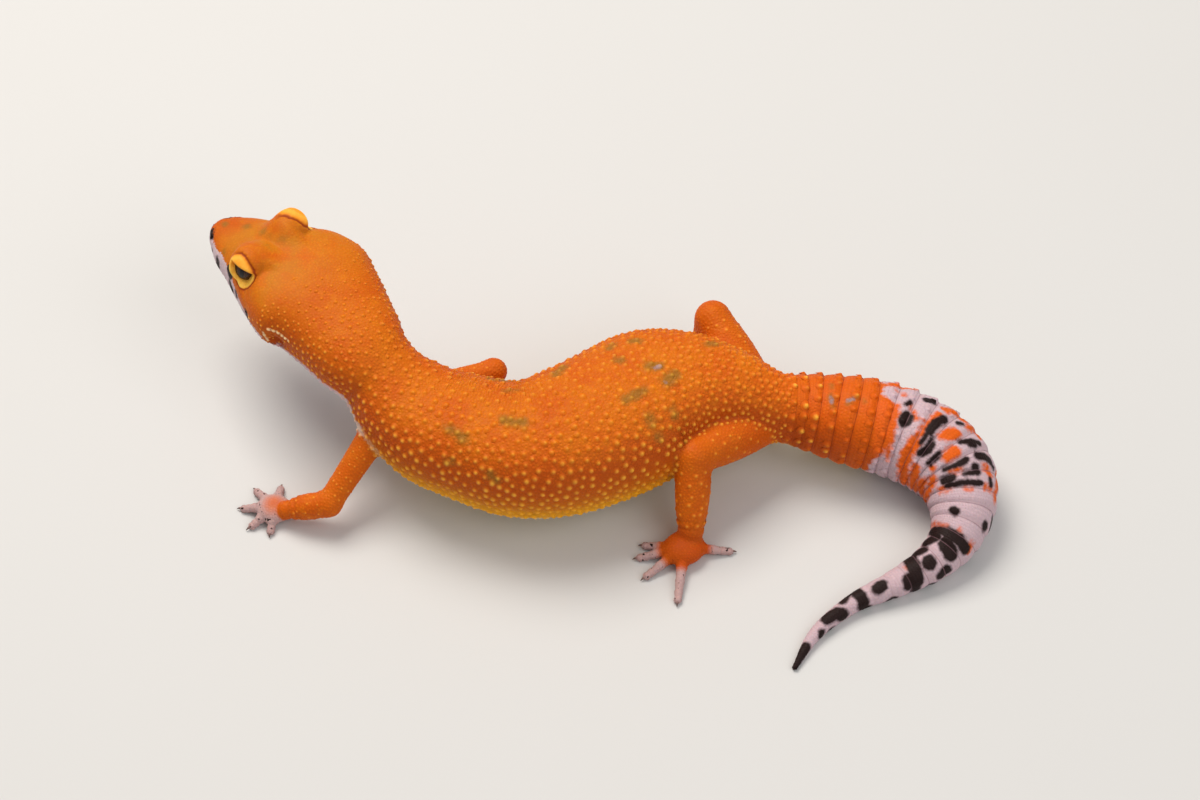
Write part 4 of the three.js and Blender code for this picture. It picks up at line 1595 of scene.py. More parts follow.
@dataclass(frozen=True)
class HideFinish:
    """The animal's colours, with painted shade in its creases, hollows and flanks and a painted highlight on
    its scales' tops, the same for its skin and its scales.
    """

    orange: Colour = (213, 107, 3)
    deep: Colour = (208, 93, 2)
    light: Colour = (227, 127, 8)
    # Red for the painted shade and for the hind feet's redder tint.
    red: Colour = (186, 72, 2)
    # Paler tops of the scales, part their own colour and part a painted highlight.
    tip: Colour = (252, 192, 66)
    olive: Colour = (134, 104, 34)
    lilac: Colour = (164, 130, 130)
    yellow: Colour = (246, 176, 24)
    cream: Colour = (244, 214, 150)
    crown: Colour = (200, 122, 18)
    pale: Colour = (206, 177, 185)
    lip: Colour = (216, 190, 196)
    white: Colour = (244, 208, 160)
    tail_orange: Colour = (226, 96, 16)
    tail_root: Colour = (220, 90, 2)
    black: Colour = (34, 17, 16)
    toe: Colour = (196, 160, 157)
    lid: Colour = (240, 146, 30)
    rim: Colour = (255, 210, 90)
    lid_edge: Colour = (246, 170, 58)
    # Painted shade: dark red in the fold behind the lids and in the creases between the tail's rings, greyer
    # on the pale part of the tail.
    crease_shade: Colour = (134, 34, 4)
    pale_crease_shade: Colour = (132, 96, 104)
    roughness: float = 0.55

    def make(self, name: str, scales: bool) -> bpy.types.Material:
        """Makes the material.

        Args:
            name: The material's name.
            scales: Whether it is for raised scales and not for the skin between them.

        Returns:
            The material.
        """
        g = Graph(name)
        broad, middle, small = g.noise(6.0), g.noise(1.5), g.noise(0.5)
        wander = g.scaled(middle, 1.6, -0.8)
        jitter = g.scaled(small, 0.6, -0.3)
        colour = g.mix(g.smooth(broad, 0.36, 0.66), self.orange, self.deep)
        colour = g.mix(g.times(g.smooth(middle, 0.45, 0.75), 0.5), colour, self.light)
        rump = g.times(g.smooth(g.value("along"), 112.0, 132.0), 0.75)
        rear = g.plus(rump, g.times(g.value("limb"), 0.3))
        colour = g.mix(rear, colour, self.tail_root)
        phase = g.scaled(g.value("along"), 9.0, g.times(g.noise(3.0), 6.0))
        # Wrinkle stripes, used as bump relief and as painted shade in their grooves.
        folds = g.times(g.math("SINE", phase), g.value("wrinkle"))
        shade = g.plus(g.times(g.value("shade"), 0.75), g.times(g.math("MAXIMUM", folds, 0.0), 0.4))
        # The painted shade of the shade value and of the wrinkles, and the hind feet's own redder tint, mix
        # towards red.
        colour = g.mix(g.plus(shade, g.times(g.value("foot"), 0.7)), colour, self.red)
        crown = g.times(g.value("crown"), g.smooth(g.noise(3.6), 0.2, 0.66))
        colour = g.mix(g.times(crown, 0.85), colour, self.crown)
        olive = g.smooth(g.plus(g.value("olive"), wander), 0.7, -0.9)
        colour = g.mix(g.times(olive, 0.7), colour, self.olive)
        lilac = g.smooth(g.plus(g.value("lilac"), jitter), 0.25, -0.25)
        colour = g.mix(lilac, colour, self.lilac)
        if scales:
            # Scales lighten towards their tops: partly their own paler tips, partly a painted highlight.
            tip = g.smooth(g.value("tip"), 0.0, 0.95)
            colour = g.mix(g.times(tip, 0.62), colour, self.tip)
        colour = g.mix(g.times(g.value("flank"), 0.75), colour, self.yellow)
        under = g.mix(g.smooth(g.value("along"), 40.0, 62.0), self.lip, self.cream)
        colour = g.mix(g.smooth(g.plus(g.value("belly"), jitter), 0.1, 0.75), colour, under)
        colour = g.mix(g.smooth(g.value("lid"), -0.05, 0.12), colour, self.lid)
        lid_edge = g.times(g.smooth(g.value("lid"), 0.0, 0.35), g.smooth(g.value("lid"), 1.1, 0.5))
        colour = g.mix(lid_edge, colour, self.lid_edge)
        white = g.plus(g.value("pale"), g.scaled(g.noise(1.7, 4.0), 1.3, -0.65))
        colour = g.mix(g.smooth(white, 0.36, 0.64), colour, self.pale)
        ragged = g.scaled(g.noise(0.9, 3.0), 1.5, -0.75)
        on_tail = g.smooth(g.scaled(wander, 0.5, g.plus(g.value("orange"), ragged)), 0.65, -0.4)
        colour = g.mix(on_tail, colour, self.tail_orange)
        colour = g.mix(g.smooth(g.plus(g.value("lips"), jitter), 0.4, 0.6), colour, self.lip)
        colour = g.mix(g.smooth(g.plus(g.value("white"), jitter), 0.25, -0.1), colour, self.white)
        colour = g.mix(g.value("rim"), colour, self.rim)
        colour = g.mix(g.value("toes"), colour, self.toe)
        blots = g.times(g.smooth(g.noise(0.8), 0.63, 0.67), g.smooth(g.value("toes"), 0.5, 0.9))
        dark = g.smooth(g.plus(g.value("dark"), g.times(ragged, 0.45)), 0.6, -0.1)
        colour = g.mix(g.math("MAXIMUM", dark, blots), colour, self.black)
        # Painted shade in the fold behind the lids.
        colour = g.mix(g.times(g.value("crease"), 0.85), colour, self.crease_shade)
        # Painted shade: a dark line in each crease between the tail's rings, stronger and weaker at random.
        part = g.math("FRACT", g.value("whorl"))
        seam_shade = g.smooth(g.math("MINIMUM", part, g.math("SUBTRACT", 1.0, part)), 0.045, 0.008)
        on_rings = g.times(g.smooth(g.value("whorl"), 0.4, 1.6), g.smooth(g.value("whorl"), 24.0, 19.0))
        seam_shade = g.times(g.times(seam_shade, on_rings), g.scaled(middle, 0.8, 0.1))
        line = g.mix(g.smooth(g.value("pale"), 0.6, 0.9), self.crease_shade, self.pale_crease_shade)
        colour = g.mix(seam_shade, colour, line)
        tone = g.node("ShaderNodeHueSaturation")
        g.put(tone.inputs["Color"], colour)
        if scales:
            bright = g.scaled(g.value("grain"), 0.07, 0.93)
            # A slight painted highlight towards each scale's top, over a random brightness for each scale.
            g.put(tone.inputs["Value"], g.scaled(g.value("tip"), 0.1, bright))
        else:
            # The skin is drawn darker than the scales, as painted shade in the gaps between them; the bare
            # lids are kept bright.
            uneven = g.scaled(small, 0.1, 0.86)
            g.put(tone.inputs["Value"], g.scaled(g.smooth(g.value("lid"), -0.1, 0.1), 0.12, uneven))
        relief = g.bump(folds, -0.06)
        relief = g.bump(g.cells(0.42), -0.035, relief)
        relief = g.bump(g.noise(0.12), 0.01, relief)
        return g.finish(
            Base_Color=tone.outputs[0], Roughness=self.roughness, Normal=relief,
            Subsurface_Weight=0.12, Subsurface_Radius=(1.0, 0.4, 0.2), Subsurface_Scale=0.0009,
            Specular_IOR_Level=0.15,
        )


@dataclass(frozen=True)
class EyeFinish:
    """A dark, wet eye: a brown iris with fine gold veins round an upright slit pupil."""

    black: Colour = (6, 4, 4)
    brown: Colour = (40, 22, 14)
    gold: Colour = (104, 66, 34)
    rim: Colour = (18, 10, 8)

    def make(self, name: str) -> bpy.types.Material:
        """Makes the material.

        Args:
            name: The material's name.

        Returns:
            The material.
        """
        g = Graph(name)
        veins = g.smooth(g.cells(0.3), 0.1, 0.32)
        iris = g.mix(g.times(g.smooth(g.noise(0.22, 4.0), 0.45, 0.7), veins), self.brown, self.gold)
        iris = g.mix(g.smooth(g.value("round"), 0.7, 1.0), iris, self.rim)
        uneven = g.scaled(g.noise(0.35), 0.3, -0.15)
        pupil = g.smooth(g.plus(g.value("slit"), uneven), 1.08, 0.92)
        return g.finish(
            Base_Color=g.mix(pupil, iris, self.black), Roughness=0.35,
            Coat_Weight=0.22, Coat_Roughness=0.08, Specular_IOR_Level=0.2,
        )


@dataclass(frozen=True)
class ClawFinish:
    """Dull horn, paler at its root."""

    root: Colour = (168, 128, 122)
    tip: Colour = (92, 70, 64)

    def make(self, name: str) -> bpy.types.Material:
        """Makes the material.

        Args:
            name: The material's name.

        Returns:
            The material.
        """
        g = Graph(name)
        streak = g.scaled(g.noise(0.3), 0.4, -0.2)
        share = g.smooth(g.plus(g.value("tip"), streak), 0.1, 0.8)
        colour = g.mix(share, self.root, self.tip)
        return g.finish(Base_Color=colour, Roughness=0.38, Normal=g.bump(g.noise(0.2), 0.01))


@dataclass(frozen=True)
class FloorFinish:
    """A plain pale floor."""

    colour: Colour = (210, 210, 210)
    warm: Colour = (204, 200, 194)

    def make(self, name: str) -> bpy.types.Material:
        """Makes the material.

        Args:
            name: The material's name.

        Returns:
            The material.
        """
        g = Graph(name)
        shade = g.mix(g.times(g.noise(60.0), 0.12), self.colour, self.warm)
        return g.finish(Base_Color=shade, Roughness=0.75)


# ---------------------------------------------------------------- the coat


@dataclass
class Dome:
    """The shape of one kind of scale: rings of (share of its radius, share of its height), then a top."""

    sides: int
    rings: tuple[tuple[float, float], ...]
    lean: float = 0.16

    def __post_init__(self) -> None:
        """Makes the vertices and faces of one scale of radius and height 1."""
        turn = 2 * np.pi * np.arange(self.sides) / self.sides
        rows = [np.stack([r * np.cos(turn + 0.2 * i), r * np.sin(turn + 0.2 * i), np.full(self.sides, h)], 1)
                for i, (r, h) in enumerate(self.rings)]
        self.points = np.vstack([*rows, [[0.0, 0.0, 1.0]]])
        faces = []
        for ring in range(len(self.rings) - 1):
            for i in range(self.sides):
                a, b = ring * self.sides + i, ring * self.sides + (i + 1) % self.sides
                faces += [(a, b, b + self.sides), (a, b + self.sides, a + self.sides)]
        top = len(self.points) - 1
        last = (len(self.rings) - 1) * self.sides
        faces += [(last + i, last + (i + 1) % self.sides, top) for i in range(self.sides)]
        self.faces = np.array(faces)


TUBERCLE = Dome(8, ((1.6, -0.14), (1.2, 0.08), (0.85, 0.34), (0.52, 0.7), (0.24, 0.94)), 0.22)
GRAIN = Dome(6, ((1.1, -0.5), (0.66, 0.66)), 0.1)
PLATE = Dome(8, ((1.15, -0.6), (0.86, 0.62)), 0.06)


@dataclass
class Roots:
    """Where scales grow: their places and sizes, and how pale their tops are."""

    points: Array
    radius: Array
    height: Array
    tips: Array

    def pick(self, keep: Array) -> "Roots":
        """Only some of the roots."""
        return Roots(self.points[keep], self.radius[keep], self.height[keep], self.tips[keep])

    def join(self, other: "Roots") -> "Roots":
        """These roots and others."""
        names = ("points", "radius", "height", "tips")
        return Roots(*(np.concatenate([getattr(self, name), getattr(other, name)]) for name in names))


@dataclass
class Coat:
    """Raised scales over the whole skin: conical tubercles on the back, fine grains between them."""

    form: GeckoForm
    pattern: Pattern
    shift: Array
    gap: float = 1.45
    tries: int = 520000
    tubercle_tries: int = 90000
    root_rings: int = 10
    finest: float = 0.38
    lowest: float = 0.04
    fringe: tuple[tuple[float, float], ...] = (
        (25.7, 0), (26.4, -8), (26.4, 12), (27.5, 13), (28.6, 13), (29.7, 11.5), (30.7, 11), (31.7, 11),
        (18.2, 3), (19.7, 3),
    )

    def __post_init__(self) -> None:
        """Starts the seeded choice of places and sizes."""
        self.random = np.random.default_rng(SEED)

    def scatter(self, skin: Array, faces: Array, tries: int) -> Array:
        """Spreads random points evenly over the skin's area.

        Args:
            skin: The skin's vertices.
            faces: The skin's triangles.
            tries: How many points.

        Returns:
            The points.
        """
        a, b, c = skin[faces[:, 0]], skin[faces[:, 1]], skin[faces[:, 2]]
        area = np.linalg.norm(np.cross(b - a, c - a), axis=1)
        pick = self.random.choice(len(faces), tries, p=area / area.sum())
        u, v = self.random.uniform(size=(2, tries, 1))
        u, v = np.where(u + v > 1, 1 - u, u), np.where(u + v > 1, 1 - v, v)
        corner = skin[faces[pick]]
        return corner[:, 0] * (1 - u - v) + corner[:, 1] * u + corner[:, 2] * v

    @staticmethod
    def thin(points: Array, size: Array, others: Array, other_size: Array, cell: float) -> Array:
        """Picks points one after the other that keep their distance from all picked before.

        Args:
            points: Candidate points.
            size: How far each keeps from others of its kind.
            others: Points already taken.
            other_size: Their sizes.
            cell: Edge of the cells used for the search, at least the largest distance kept.

        Returns:
            The numbers of the points picked.
        """
        taken: dict[tuple[int, int, int], list[tuple[float, float, float, float]]] = {}
        for (x, y, z), s in zip(others.tolist(), other_size.tolist()):
            taken.setdefault((int(x // cell), int(y // cell), int(z // cell)), []).append((x, y, z, s / 2))
        kept = []
        around = [(i - 1, j - 1, k - 1) for i, j, k in np.ndindex(3, 3, 3)]
        for n, ((x, y, z), s) in enumerate(zip(points.tolist(), size.tolist())):
            i, j, k = int(x // cell), int(y // cell), int(z // cell)
            half = s / 2
            free = True
            for di, dj, dk in around:
                for px, py, pz, r in taken.get((i + di, j + dj, k + dk), ()):
                    limit = half + r
                    if (px - x) ** 2 + (py - y) ** 2 + (pz - z) ** 2 < limit * limit:
                        free = False
                        break
                if not free:
                    break
            if free:
                taken.setdefault((i, j, k), []).append((x, y, z, half))
                kept.append(n)
        return np.array(kept, int)

    def tubercle_roots(self, skin: Array, faces: Array) -> Roots:
        """Tubercles over temples, nape, back, flanks and the root of the tail.

        Args:
            skin: The skin's vertices.
            faces: The skin's triangles.

        Returns:
            Their roots.
        """
        spine = self.form.spine
        points = self.scatter(skin, faces, self.tubercle_tries)
        spot = spine.locate(points)
        body = np.abs(self.form.core(spot)) < 0.9
        height = np.sin(np.radians(spot.angle))
        stop = spine.station_arc(spine.tail_start + 0.2)
        use = body & (spot.arc > 21.5) & (spot.arc < stop) & (height > -0.72)
        points, height, arc, angle = points[use], height[use], spot.arc[use], spot.angle[use]
        stops, shares = [20, 30, 40, 52, 96, 106, 128], [0.6, 0.66, 0.84, 1.0, 1.0, 0.82, 0.72]
        apart = self.gap * np.interp(arc, stops, shares)
        apart = apart * np.interp(height, [-0.5, 0.0, 0.5, 1.0], [0.86, 0.92, 1.0, 1.06])
        groin = ramp(arc, 92, 104) * ramp(-height, -0.6, -0.2)
        apart = apart * (1 - 0.22 * groin)
        kept = self.thin(points, apart, np.zeros((0, 3)), np.zeros(0), 2.8)
        points, height, arc, angle = points[kept], height[kept], arc[kept], angle[kept]
        radius = np.interp(arc, [20, 32, 44, 56, 98, 108, 127], [0.26, 0.32, 0.46, 0.58, 0.6, 0.52, 0.5])
        radius = radius * np.interp(height, [-0.75, -0.5, 0.0], [0.66, 0.9, 1.0]) * (1 - 0.2 * groin[kept])
        radius = radius * self.random.uniform(0.84, 1.12, len(radius))
        side = np.abs(angle - 90) / 90
        bare = np.interp(arc, [21, 27, 33, 38], [0.8, 0.6, 0.2, 0.0])
        keep = self.random.uniform(size=len(radius)) > bare * np.interp(side, [0.45, 0.85], [1.25, 0.3])
        tall = radius * self.random.uniform(0.5, 0.68, len(radius))
        tips = np.interp(height, [-0.3, 0.3, 0.75, 1.0], [1.0, 0.85, 0.5, 0.42])
        tips = tips * np.interp(arc, [36, 50], [0.9, 1.0]) * self.random.uniform(0.7, 1.1, len(tips))
        return Roots(points, radius, tall, tips).pick(keep)

    def whorl_tubercles(self) -> Roots:
        """Sets one row of low tubercles along the rear edge of each ring at the root of the tail.

        Returns:
            Their roots.
        """
        spine = self.form.spine
        pitch = (spine.tail_stop - spine.tail_start) / self.form.whorls
        found = []
        for whorl in range(self.root_rings):
            arc = spine.station_arc(spine.tail_start + pitch * (whorl + 0.8))
            half = float(np.interp(arc, spine.arc, spine.size[:, 0]))
            angles = np.arange(-14, 195, math.degrees(2.9 / half)) + (9 if whorl % 2 else 0)
            angles = angles + self.random.normal(0, 3.0, len(angles))
            found.append(np.stack([np.full(len(angles), arc), angles], 1))
        spots = np.vstack(found)
        points, _ = self.form.settle(spine.ring(spots[:, 0], spots[:, 1]), 3)
        radius = np.interp(spots[:, 0], [125, 132, 160], [0.62, 0.6, 0.4])
        radius = radius * self.random.uniform(0.85, 1.1, len(spots))
        tips = np.where(self.random.uniform(size=len(spots)) < 0.22, 1.0, 0.35)
        return Roots(points, radius, radius * 0.75, tips * ramp(-spots[:, 0], -140, -134))

    def ear_fringe(self) -> Roots:
        """Sets a short row of white tubercles over each ear and at the corner of the mouth.

        Returns:
            Their roots.
        """
        spots = np.array([*self.fringe, *((arc, 180 - turn) for arc, turn in self.fringe)], float)
        points, _ = self.form.settle(self.form.spine.ring(spots[:, 0], spots[:, 1]), 3)
        radius = self.random.uniform(0.3, 0.42, len(spots))
        return Roots(points, radius, radius * 0.65, np.full(len(spots), 0.9))

    def limb_tubercles(self) -> Roots:
        """Sets small tubercles on the upper side of thighs, shins and arms.

        Returns:
            Their roots.
        """
        found, sizes = [], []
        for limb in self.form.limbs:
            back = limb.name.startswith("leg")
            for a, b, r in ((limb.a, limb.b, limb.girth[0]), (limb.b, limb.c, limb.girth[1])):
                length = np.linalg.norm(b - a)
                axis = (b - a) / length
                side = unit(np.cross(axis, [0.0, 0.0, 1.0]))
                over = np.cross(side, axis)
                step = 1.9 if back else 2.0
                for i, along in enumerate(np.arange(0.2 * length, 0.92 * length, step)):
                    turns = np.radians(np.arange(-60, 241, 38) + (19 if i % 2 else 0))
                    turns = turns + self.random.normal(0, 0.12, 8)
                    ring = np.cos(turns)[:, None] * side + np.sin(turns)[:, None] * over
                    jitter = self.random.normal(0, 0.25, (8, 1)) * axis
                    found.append(a + axis * along + ring * r + jitter)
                    sizes.append(np.full(8, 0.4 if back else 0.28))
        ideal, radius = np.vstack(found), np.concatenate(sizes)
        points, _ = self.form.settle(ideal, 3)
        keep = np.linalg.norm(points - ideal, axis=1) < 1.1
        radius = radius * self.random.uniform(0.8, 1.15, len(radius))
        return Roots(points, radius, radius * 0.42, np.full(len(points), 0.55)).pick(keep)

    def tail_roots(self) -> Roots:
        """Sets rows of small flat scales round each ring of the tail.

        Returns:
            Their roots.
        """
        spine = self.form.spine
        start = spine.tail_start
        pitch = (spine.tail_stop - start) / self.form.whorls
        found, sizes = [], []
        for whorl in range(1, self.form.whorls):
            rows = 4 if whorl < 16 else 5
            for i in range(rows):
                phase = whorl + 0.07 + 0.86 * (i + 0.5) / rows
                place = start + pitch * phase
                arc = spine.station_arc(place)
                step = (spine.station_arc(place + 0.01) - arc) * 84 * pitch / rows
                angles = np.linspace(-180, 180, 500)
                line = spine.ring(np.full(500, arc), angles)
                runs = np.concatenate([[0], np.cumsum(np.linalg.norm(np.diff(line, axis=0), axis=1))])
                wide = max(0.5, step * 1.02)
                count = max(6, int(runs[-1] / wide))
                at = (np.arange(count) + (0.5 if i % 2 else 0.0)) * runs[-1] / count
                theta = np.interp(at + self.random.normal(0, 0.05, count), runs, angles)
                shifted = np.interp(place - self.form.wave(theta, place) * pitch, spine.place, spine.arc)
                found.append(np.stack([shifted + self.random.normal(0, 0.03, count), theta], 1))
                sizes.append(np.full(count, 0.47 * min(step, runs[-1] / count)))
        spots, radius = np.vstack(found), np.concatenate(sizes)
        ideal = spine.ring(spots[:, 0], spots[:, 1])
        points, _ = self.form.settle(ideal, 3)
        keep = np.linalg.norm(points - ideal, axis=1) < 0.9
        radius = radius * self.random.uniform(0.92, 1.04, len(radius))
        return Roots(points, radius, radius * 0.055, np.full(len(points), 0.05)).pick(keep)

    def spacing(self, points: Array) -> Array:
        """Works out how far apart the fine grains stand.

        Args:
            points: Points of the skin.

        Returns:
            One distance for each point.
        """
        spot = self.form.spine.locate(points)
        stops, sizes = (0, 8, 20, 34, 46, 118, 126, 200), (0.42, 0.46, 0.5, 0.52, 0.56, 0.6, 0.62, 0.4)
        size = np.interp(spot.arc, stops, sizes)
        size = np.where(spot.rise < -0.35 * spot.height, size * 1.25, size)
        back, side, up = self.form.spine.head_axes(points)
        dome = self.form.features.seat.dome(back, side, up)
        size = np.where((dome < 0.5) & (spot.arc < 30), self.finest, size)
        for limb in self.form.limbs:
            close = limb.close(points)
            part = points[close]
            bones = np.minimum(limb.upper(part)[0], limb.lower(part)[0])
            gone = limb.gone(part)
            size[close] = np.where(bones < 0.6, 0.5, size[close])
            size[close] = np.where(gone < 4.0, np.minimum(size[close], 0.44), size[close])
            toes = (gone < 14) & (bones > 1.0) & (part[:, 2] < 3.6)
            size[close] = np.where(toes, np.minimum(size[close], 0.42), size[close])
        return size

    def grain_roots(self, skin: Array, faces: Array, others: Roots) -> Roots:
        """Fine grains scattered evenly over the rest of the skin.

        Args:
            skin: The skin's vertices.
            faces: The skin's triangles.
            others: Roots that are already taken.

        Returns:
            The grains' roots.
        """
        points = self.scatter(skin, faces, self.tries)
        size = self.spacing(points)
        spot = self.form.spine.locate(points)
        spine, seat = self.form.spine, self.form.features.seat
        ringed = (spot.place > spine.tail_start + 0.5) & (spot.place < spine.tail_stop - 0.2)
        back, side, up = spine.head_axes(points)
        forward, rise, out = seat.axes(back, side, up)
        opening = seat.lid_edge(forward, rise, side) < 0.4
        eye = opening & (out > -0.3) & (spot.arc < 30) & (out < 5)
        body = np.abs(self.form.core(spot)) < 1.0
        use = ~(ringed & body) & ~eye & (points[:, 2] > 0.25)
        points, size = points[use], size[use]
        kept = self.thin(points, size, others.points, others.radius * 1.7, 0.8)
        points, size = points[kept], size[kept]
        points, _ = self.form.settle(points, 1)
        radius = size * 0.6 * self.random.uniform(0.88, 1.1, len(size))
        flat = np.interp(self.form.spine.locate(points).arc, [0, 22, 36, 60], [0.06, 0.08, 0.13, 0.19])
        height = radius * flat * self.random.uniform(0.8, 1.2, len(size))
        return Roots(points, radius, height, np.full(len(points), 0.06))

    def unwrap(self, points: Array) -> tuple[Array, Array, Array]:
        """Finds where roots lie on the skin's unwrap.

        Args:
            points: The roots.

        Returns:
            Two shares for each root, and the part of the body it is on: head, trunk, tail or limb.
        """
        spine = self.form.spine
        spot = spine.locate(points)
        part = np.where(spot.arc < HEAD_COAT_END, 0, np.where(spot.arc < TRUNK_END, 1, 2))
        u = spot.arc / spine.length
        v = (spot.angle % 360) / 360
        body = np.abs(self.form.core(spot))
        for i, limb in enumerate(self.form.limbs):
            close = limb.close(points)
            p = points[close]
            at = limb.spot(p)
            which = np.argmin(np.stack([at.upper, at.lower, at.paw]), 0)
            bone = np.where(which == 1, 1 + at.lower_share, 2 + np.minimum(at.gone / 14, 1.0))
            along = np.where(which == 0, at.upper_share, bone) / 3
            axis = unit(limb.c - limb.a)
            side = unit(np.cross(axis, [0.0, 0.0, 1.0]))
            over = np.cross(side, axis)
            off = p - (limb.a + np.clip((p - limb.a) @ axis, 0, None)[:, None] * axis)
            turn = (np.arctan2(off @ over, off @ side) / (2 * np.pi)) % 1.0
            mine = at.nearest < body[close] - 0.1
            chosen = close[mine]
            part[chosen] = 3
            u[chosen] = along[mine]
            v[chosen] = (i + 0.04 + 0.92 * turn[mine]) / 4
        return u, v, part

    def grow(
        self, name: str, dome: Dome, roots: Roots, finish: bpy.types.Material, slot: str, fine: bool = False,
    ) -> bpy.types.Object:
        """Makes one joined mesh of scales.

        Args:
            name: The piece's name.
            dome: The shape of each scale.
            roots: Where they stand.
            finish: Their material.
            slot: Not used; it is only passed on.
            fine: Whether one scale may hold the edge of a marking.

        Returns:
            The piece.
        """
        points, outward = self.form.settle(roots.points, 1)
        spot = self.form.spine.locate(points)
        back = self.form.spine.along[spot.near]
        lie = unit(back - outward * np.einsum("ij,ij->i", back, outward)[:, None])
        across = np.cross(outward, lie)
        count, each = len(points), len(dome.points)
        turn = self.random.uniform(0, 2 * np.pi, count)
        c, s = np.cos(turn)[:, None], np.sin(turn)[:, None]
        x = dome.points[:, 0] * c - dome.points[:, 1] * s
        y = dome.points[:, 0] * s + dome.points[:, 1] * c
        z = np.broadcast_to(dome.points[:, 2], x.shape)
        wobble = 1 + self.random.normal(0, 0.05, x.shape)
        r, h = roots.radius[:, None], roots.height[:, None]
        along = (x * wobble + dome.lean * np.maximum(z, 0)) * r
        vertices = points[:, None] + along[..., None] * lie[:, None]
        vertices = vertices + (y * wobble * r)[..., None] * across[:, None]
        vertices = vertices + (z * h)[..., None] * outward[:, None]
        vertices = vertices.reshape(-1, 3)
        vertices[:, 2] = np.maximum(vertices[:, 2], self.lowest)
        faces = (dome.faces[None] + (np.arange(count) * each)[:, None, None]).reshape(-1, 3)
        piece = make_mesh(name, vertices, faces, self.shift, finish)
        if fine:
            values = self.pattern.values(vertices)
        else:
            values = {key: np.repeat(v, each) for key, v in self.pattern.values(points).items()}
        # Share of the way up each scale, times its root's paleness: the finish lightens scales towards their
        # tops, partly as a painted highlight.
        values["tip"] = (np.clip(dome.points[:, 2], 0, 1) * roots.tips[:, None]).ravel()
        values["grain"] = np.repeat(self.random.uniform(0, 1, count), each)
        u, v, _ = self.unwrap(points)
        uv = [(0.01 + 0.98 * share)[:, None] + 0.0015 * off / 1.2 for share, off in ((u, x), (v, y))]
        uv = np.stack(uv, -1)
        layer = piece.data.uv_layers.new(name="OFBake")
        layer.data.foreach_set("uv", uv.reshape(-1, 2)[faces.ravel()].astype(np.float32).ravel())
        hand_over(piece, values, slot)
        return piece

    def dress(self, skin: Array, faces: Array, finish: bpy.types.Material) -> list[bpy.types.Object]:
        """Grows all the scales.

        Args:
            skin: The skin's vertices.
            faces: The skin's faces.
            finish: The scales' material.

        Returns:
            The pieces of the coat.
        """
        big, fringe = self.tubercle_roots(skin, faces), self.ear_fringe()
        apart = np.linalg.norm(big.points[:, None] - fringe.points[None], axis=2).min(1)
        big = big.pick(apart > 0.75).join(fringe).join(self.whorl_tubercles())
        small = self.limb_tubercles()
        rings = self.tail_roots()
        far = np.ones(len(rings.points), bool)
        for start in range(0, len(rings.points), 500):
            gap = ((rings.points[start : start + 500, None] - big.points[None]) ** 2).sum(-1)
            far[start : start + 500] = np.all(gap > (0.8 * big.radius[None]) ** 2, axis=1)
        rings = rings.pick(far)
        grains = self.grain_roots(skin, faces, big.join(small).join(rings))
        _, _, part = self.unwrap(grains.points)
        arc = self.form.spine.locate(big.points).arc
        tail = self.form.spine.locate(rings.points).arc
        trunk = (arc >= NECK_END) & (arc < TRUNK_END)
        rows = (
            ("neck_tubercles", TUBERCLE, big.pick(arc < NECK_END), "head_skin"),
            ("back_tubercles", TUBERCLE, big.pick(trunk), "body_skin"),
            ("tail_tubercles", TUBERCLE, big.pick(arc >= TRUNK_END), "tail_skin"),
            ("limb_tubercles", TUBERCLE, small, "limb_skin"),
            ("tail_root_rings", PLATE, rings.pick(tail < ORANGE_END), "tail_skin"),
            ("tail_rings", PLATE, rings.pick(tail >= ORANGE_END), "banded_skin"),
        )
        pieces = [self.grow(name, dome, roots, finish, slot, True) for name, dome, roots, slot in rows]
        places = (
            ("head_scales", "head_skin"), ("trunk_scales", "body_skin"),
            ("tail_scales", "banded_skin"), ("limb_scales", "limb_skin"),
        )
        for number, (name, slot) in enumerate(places):
            some = grains.pick(part == number)
            pieces.append(self.grow(name, GRAIN, some, finish, slot, number == 2))
        return pieces


# ---------------------------------------------------------------- eyes, claws, studio


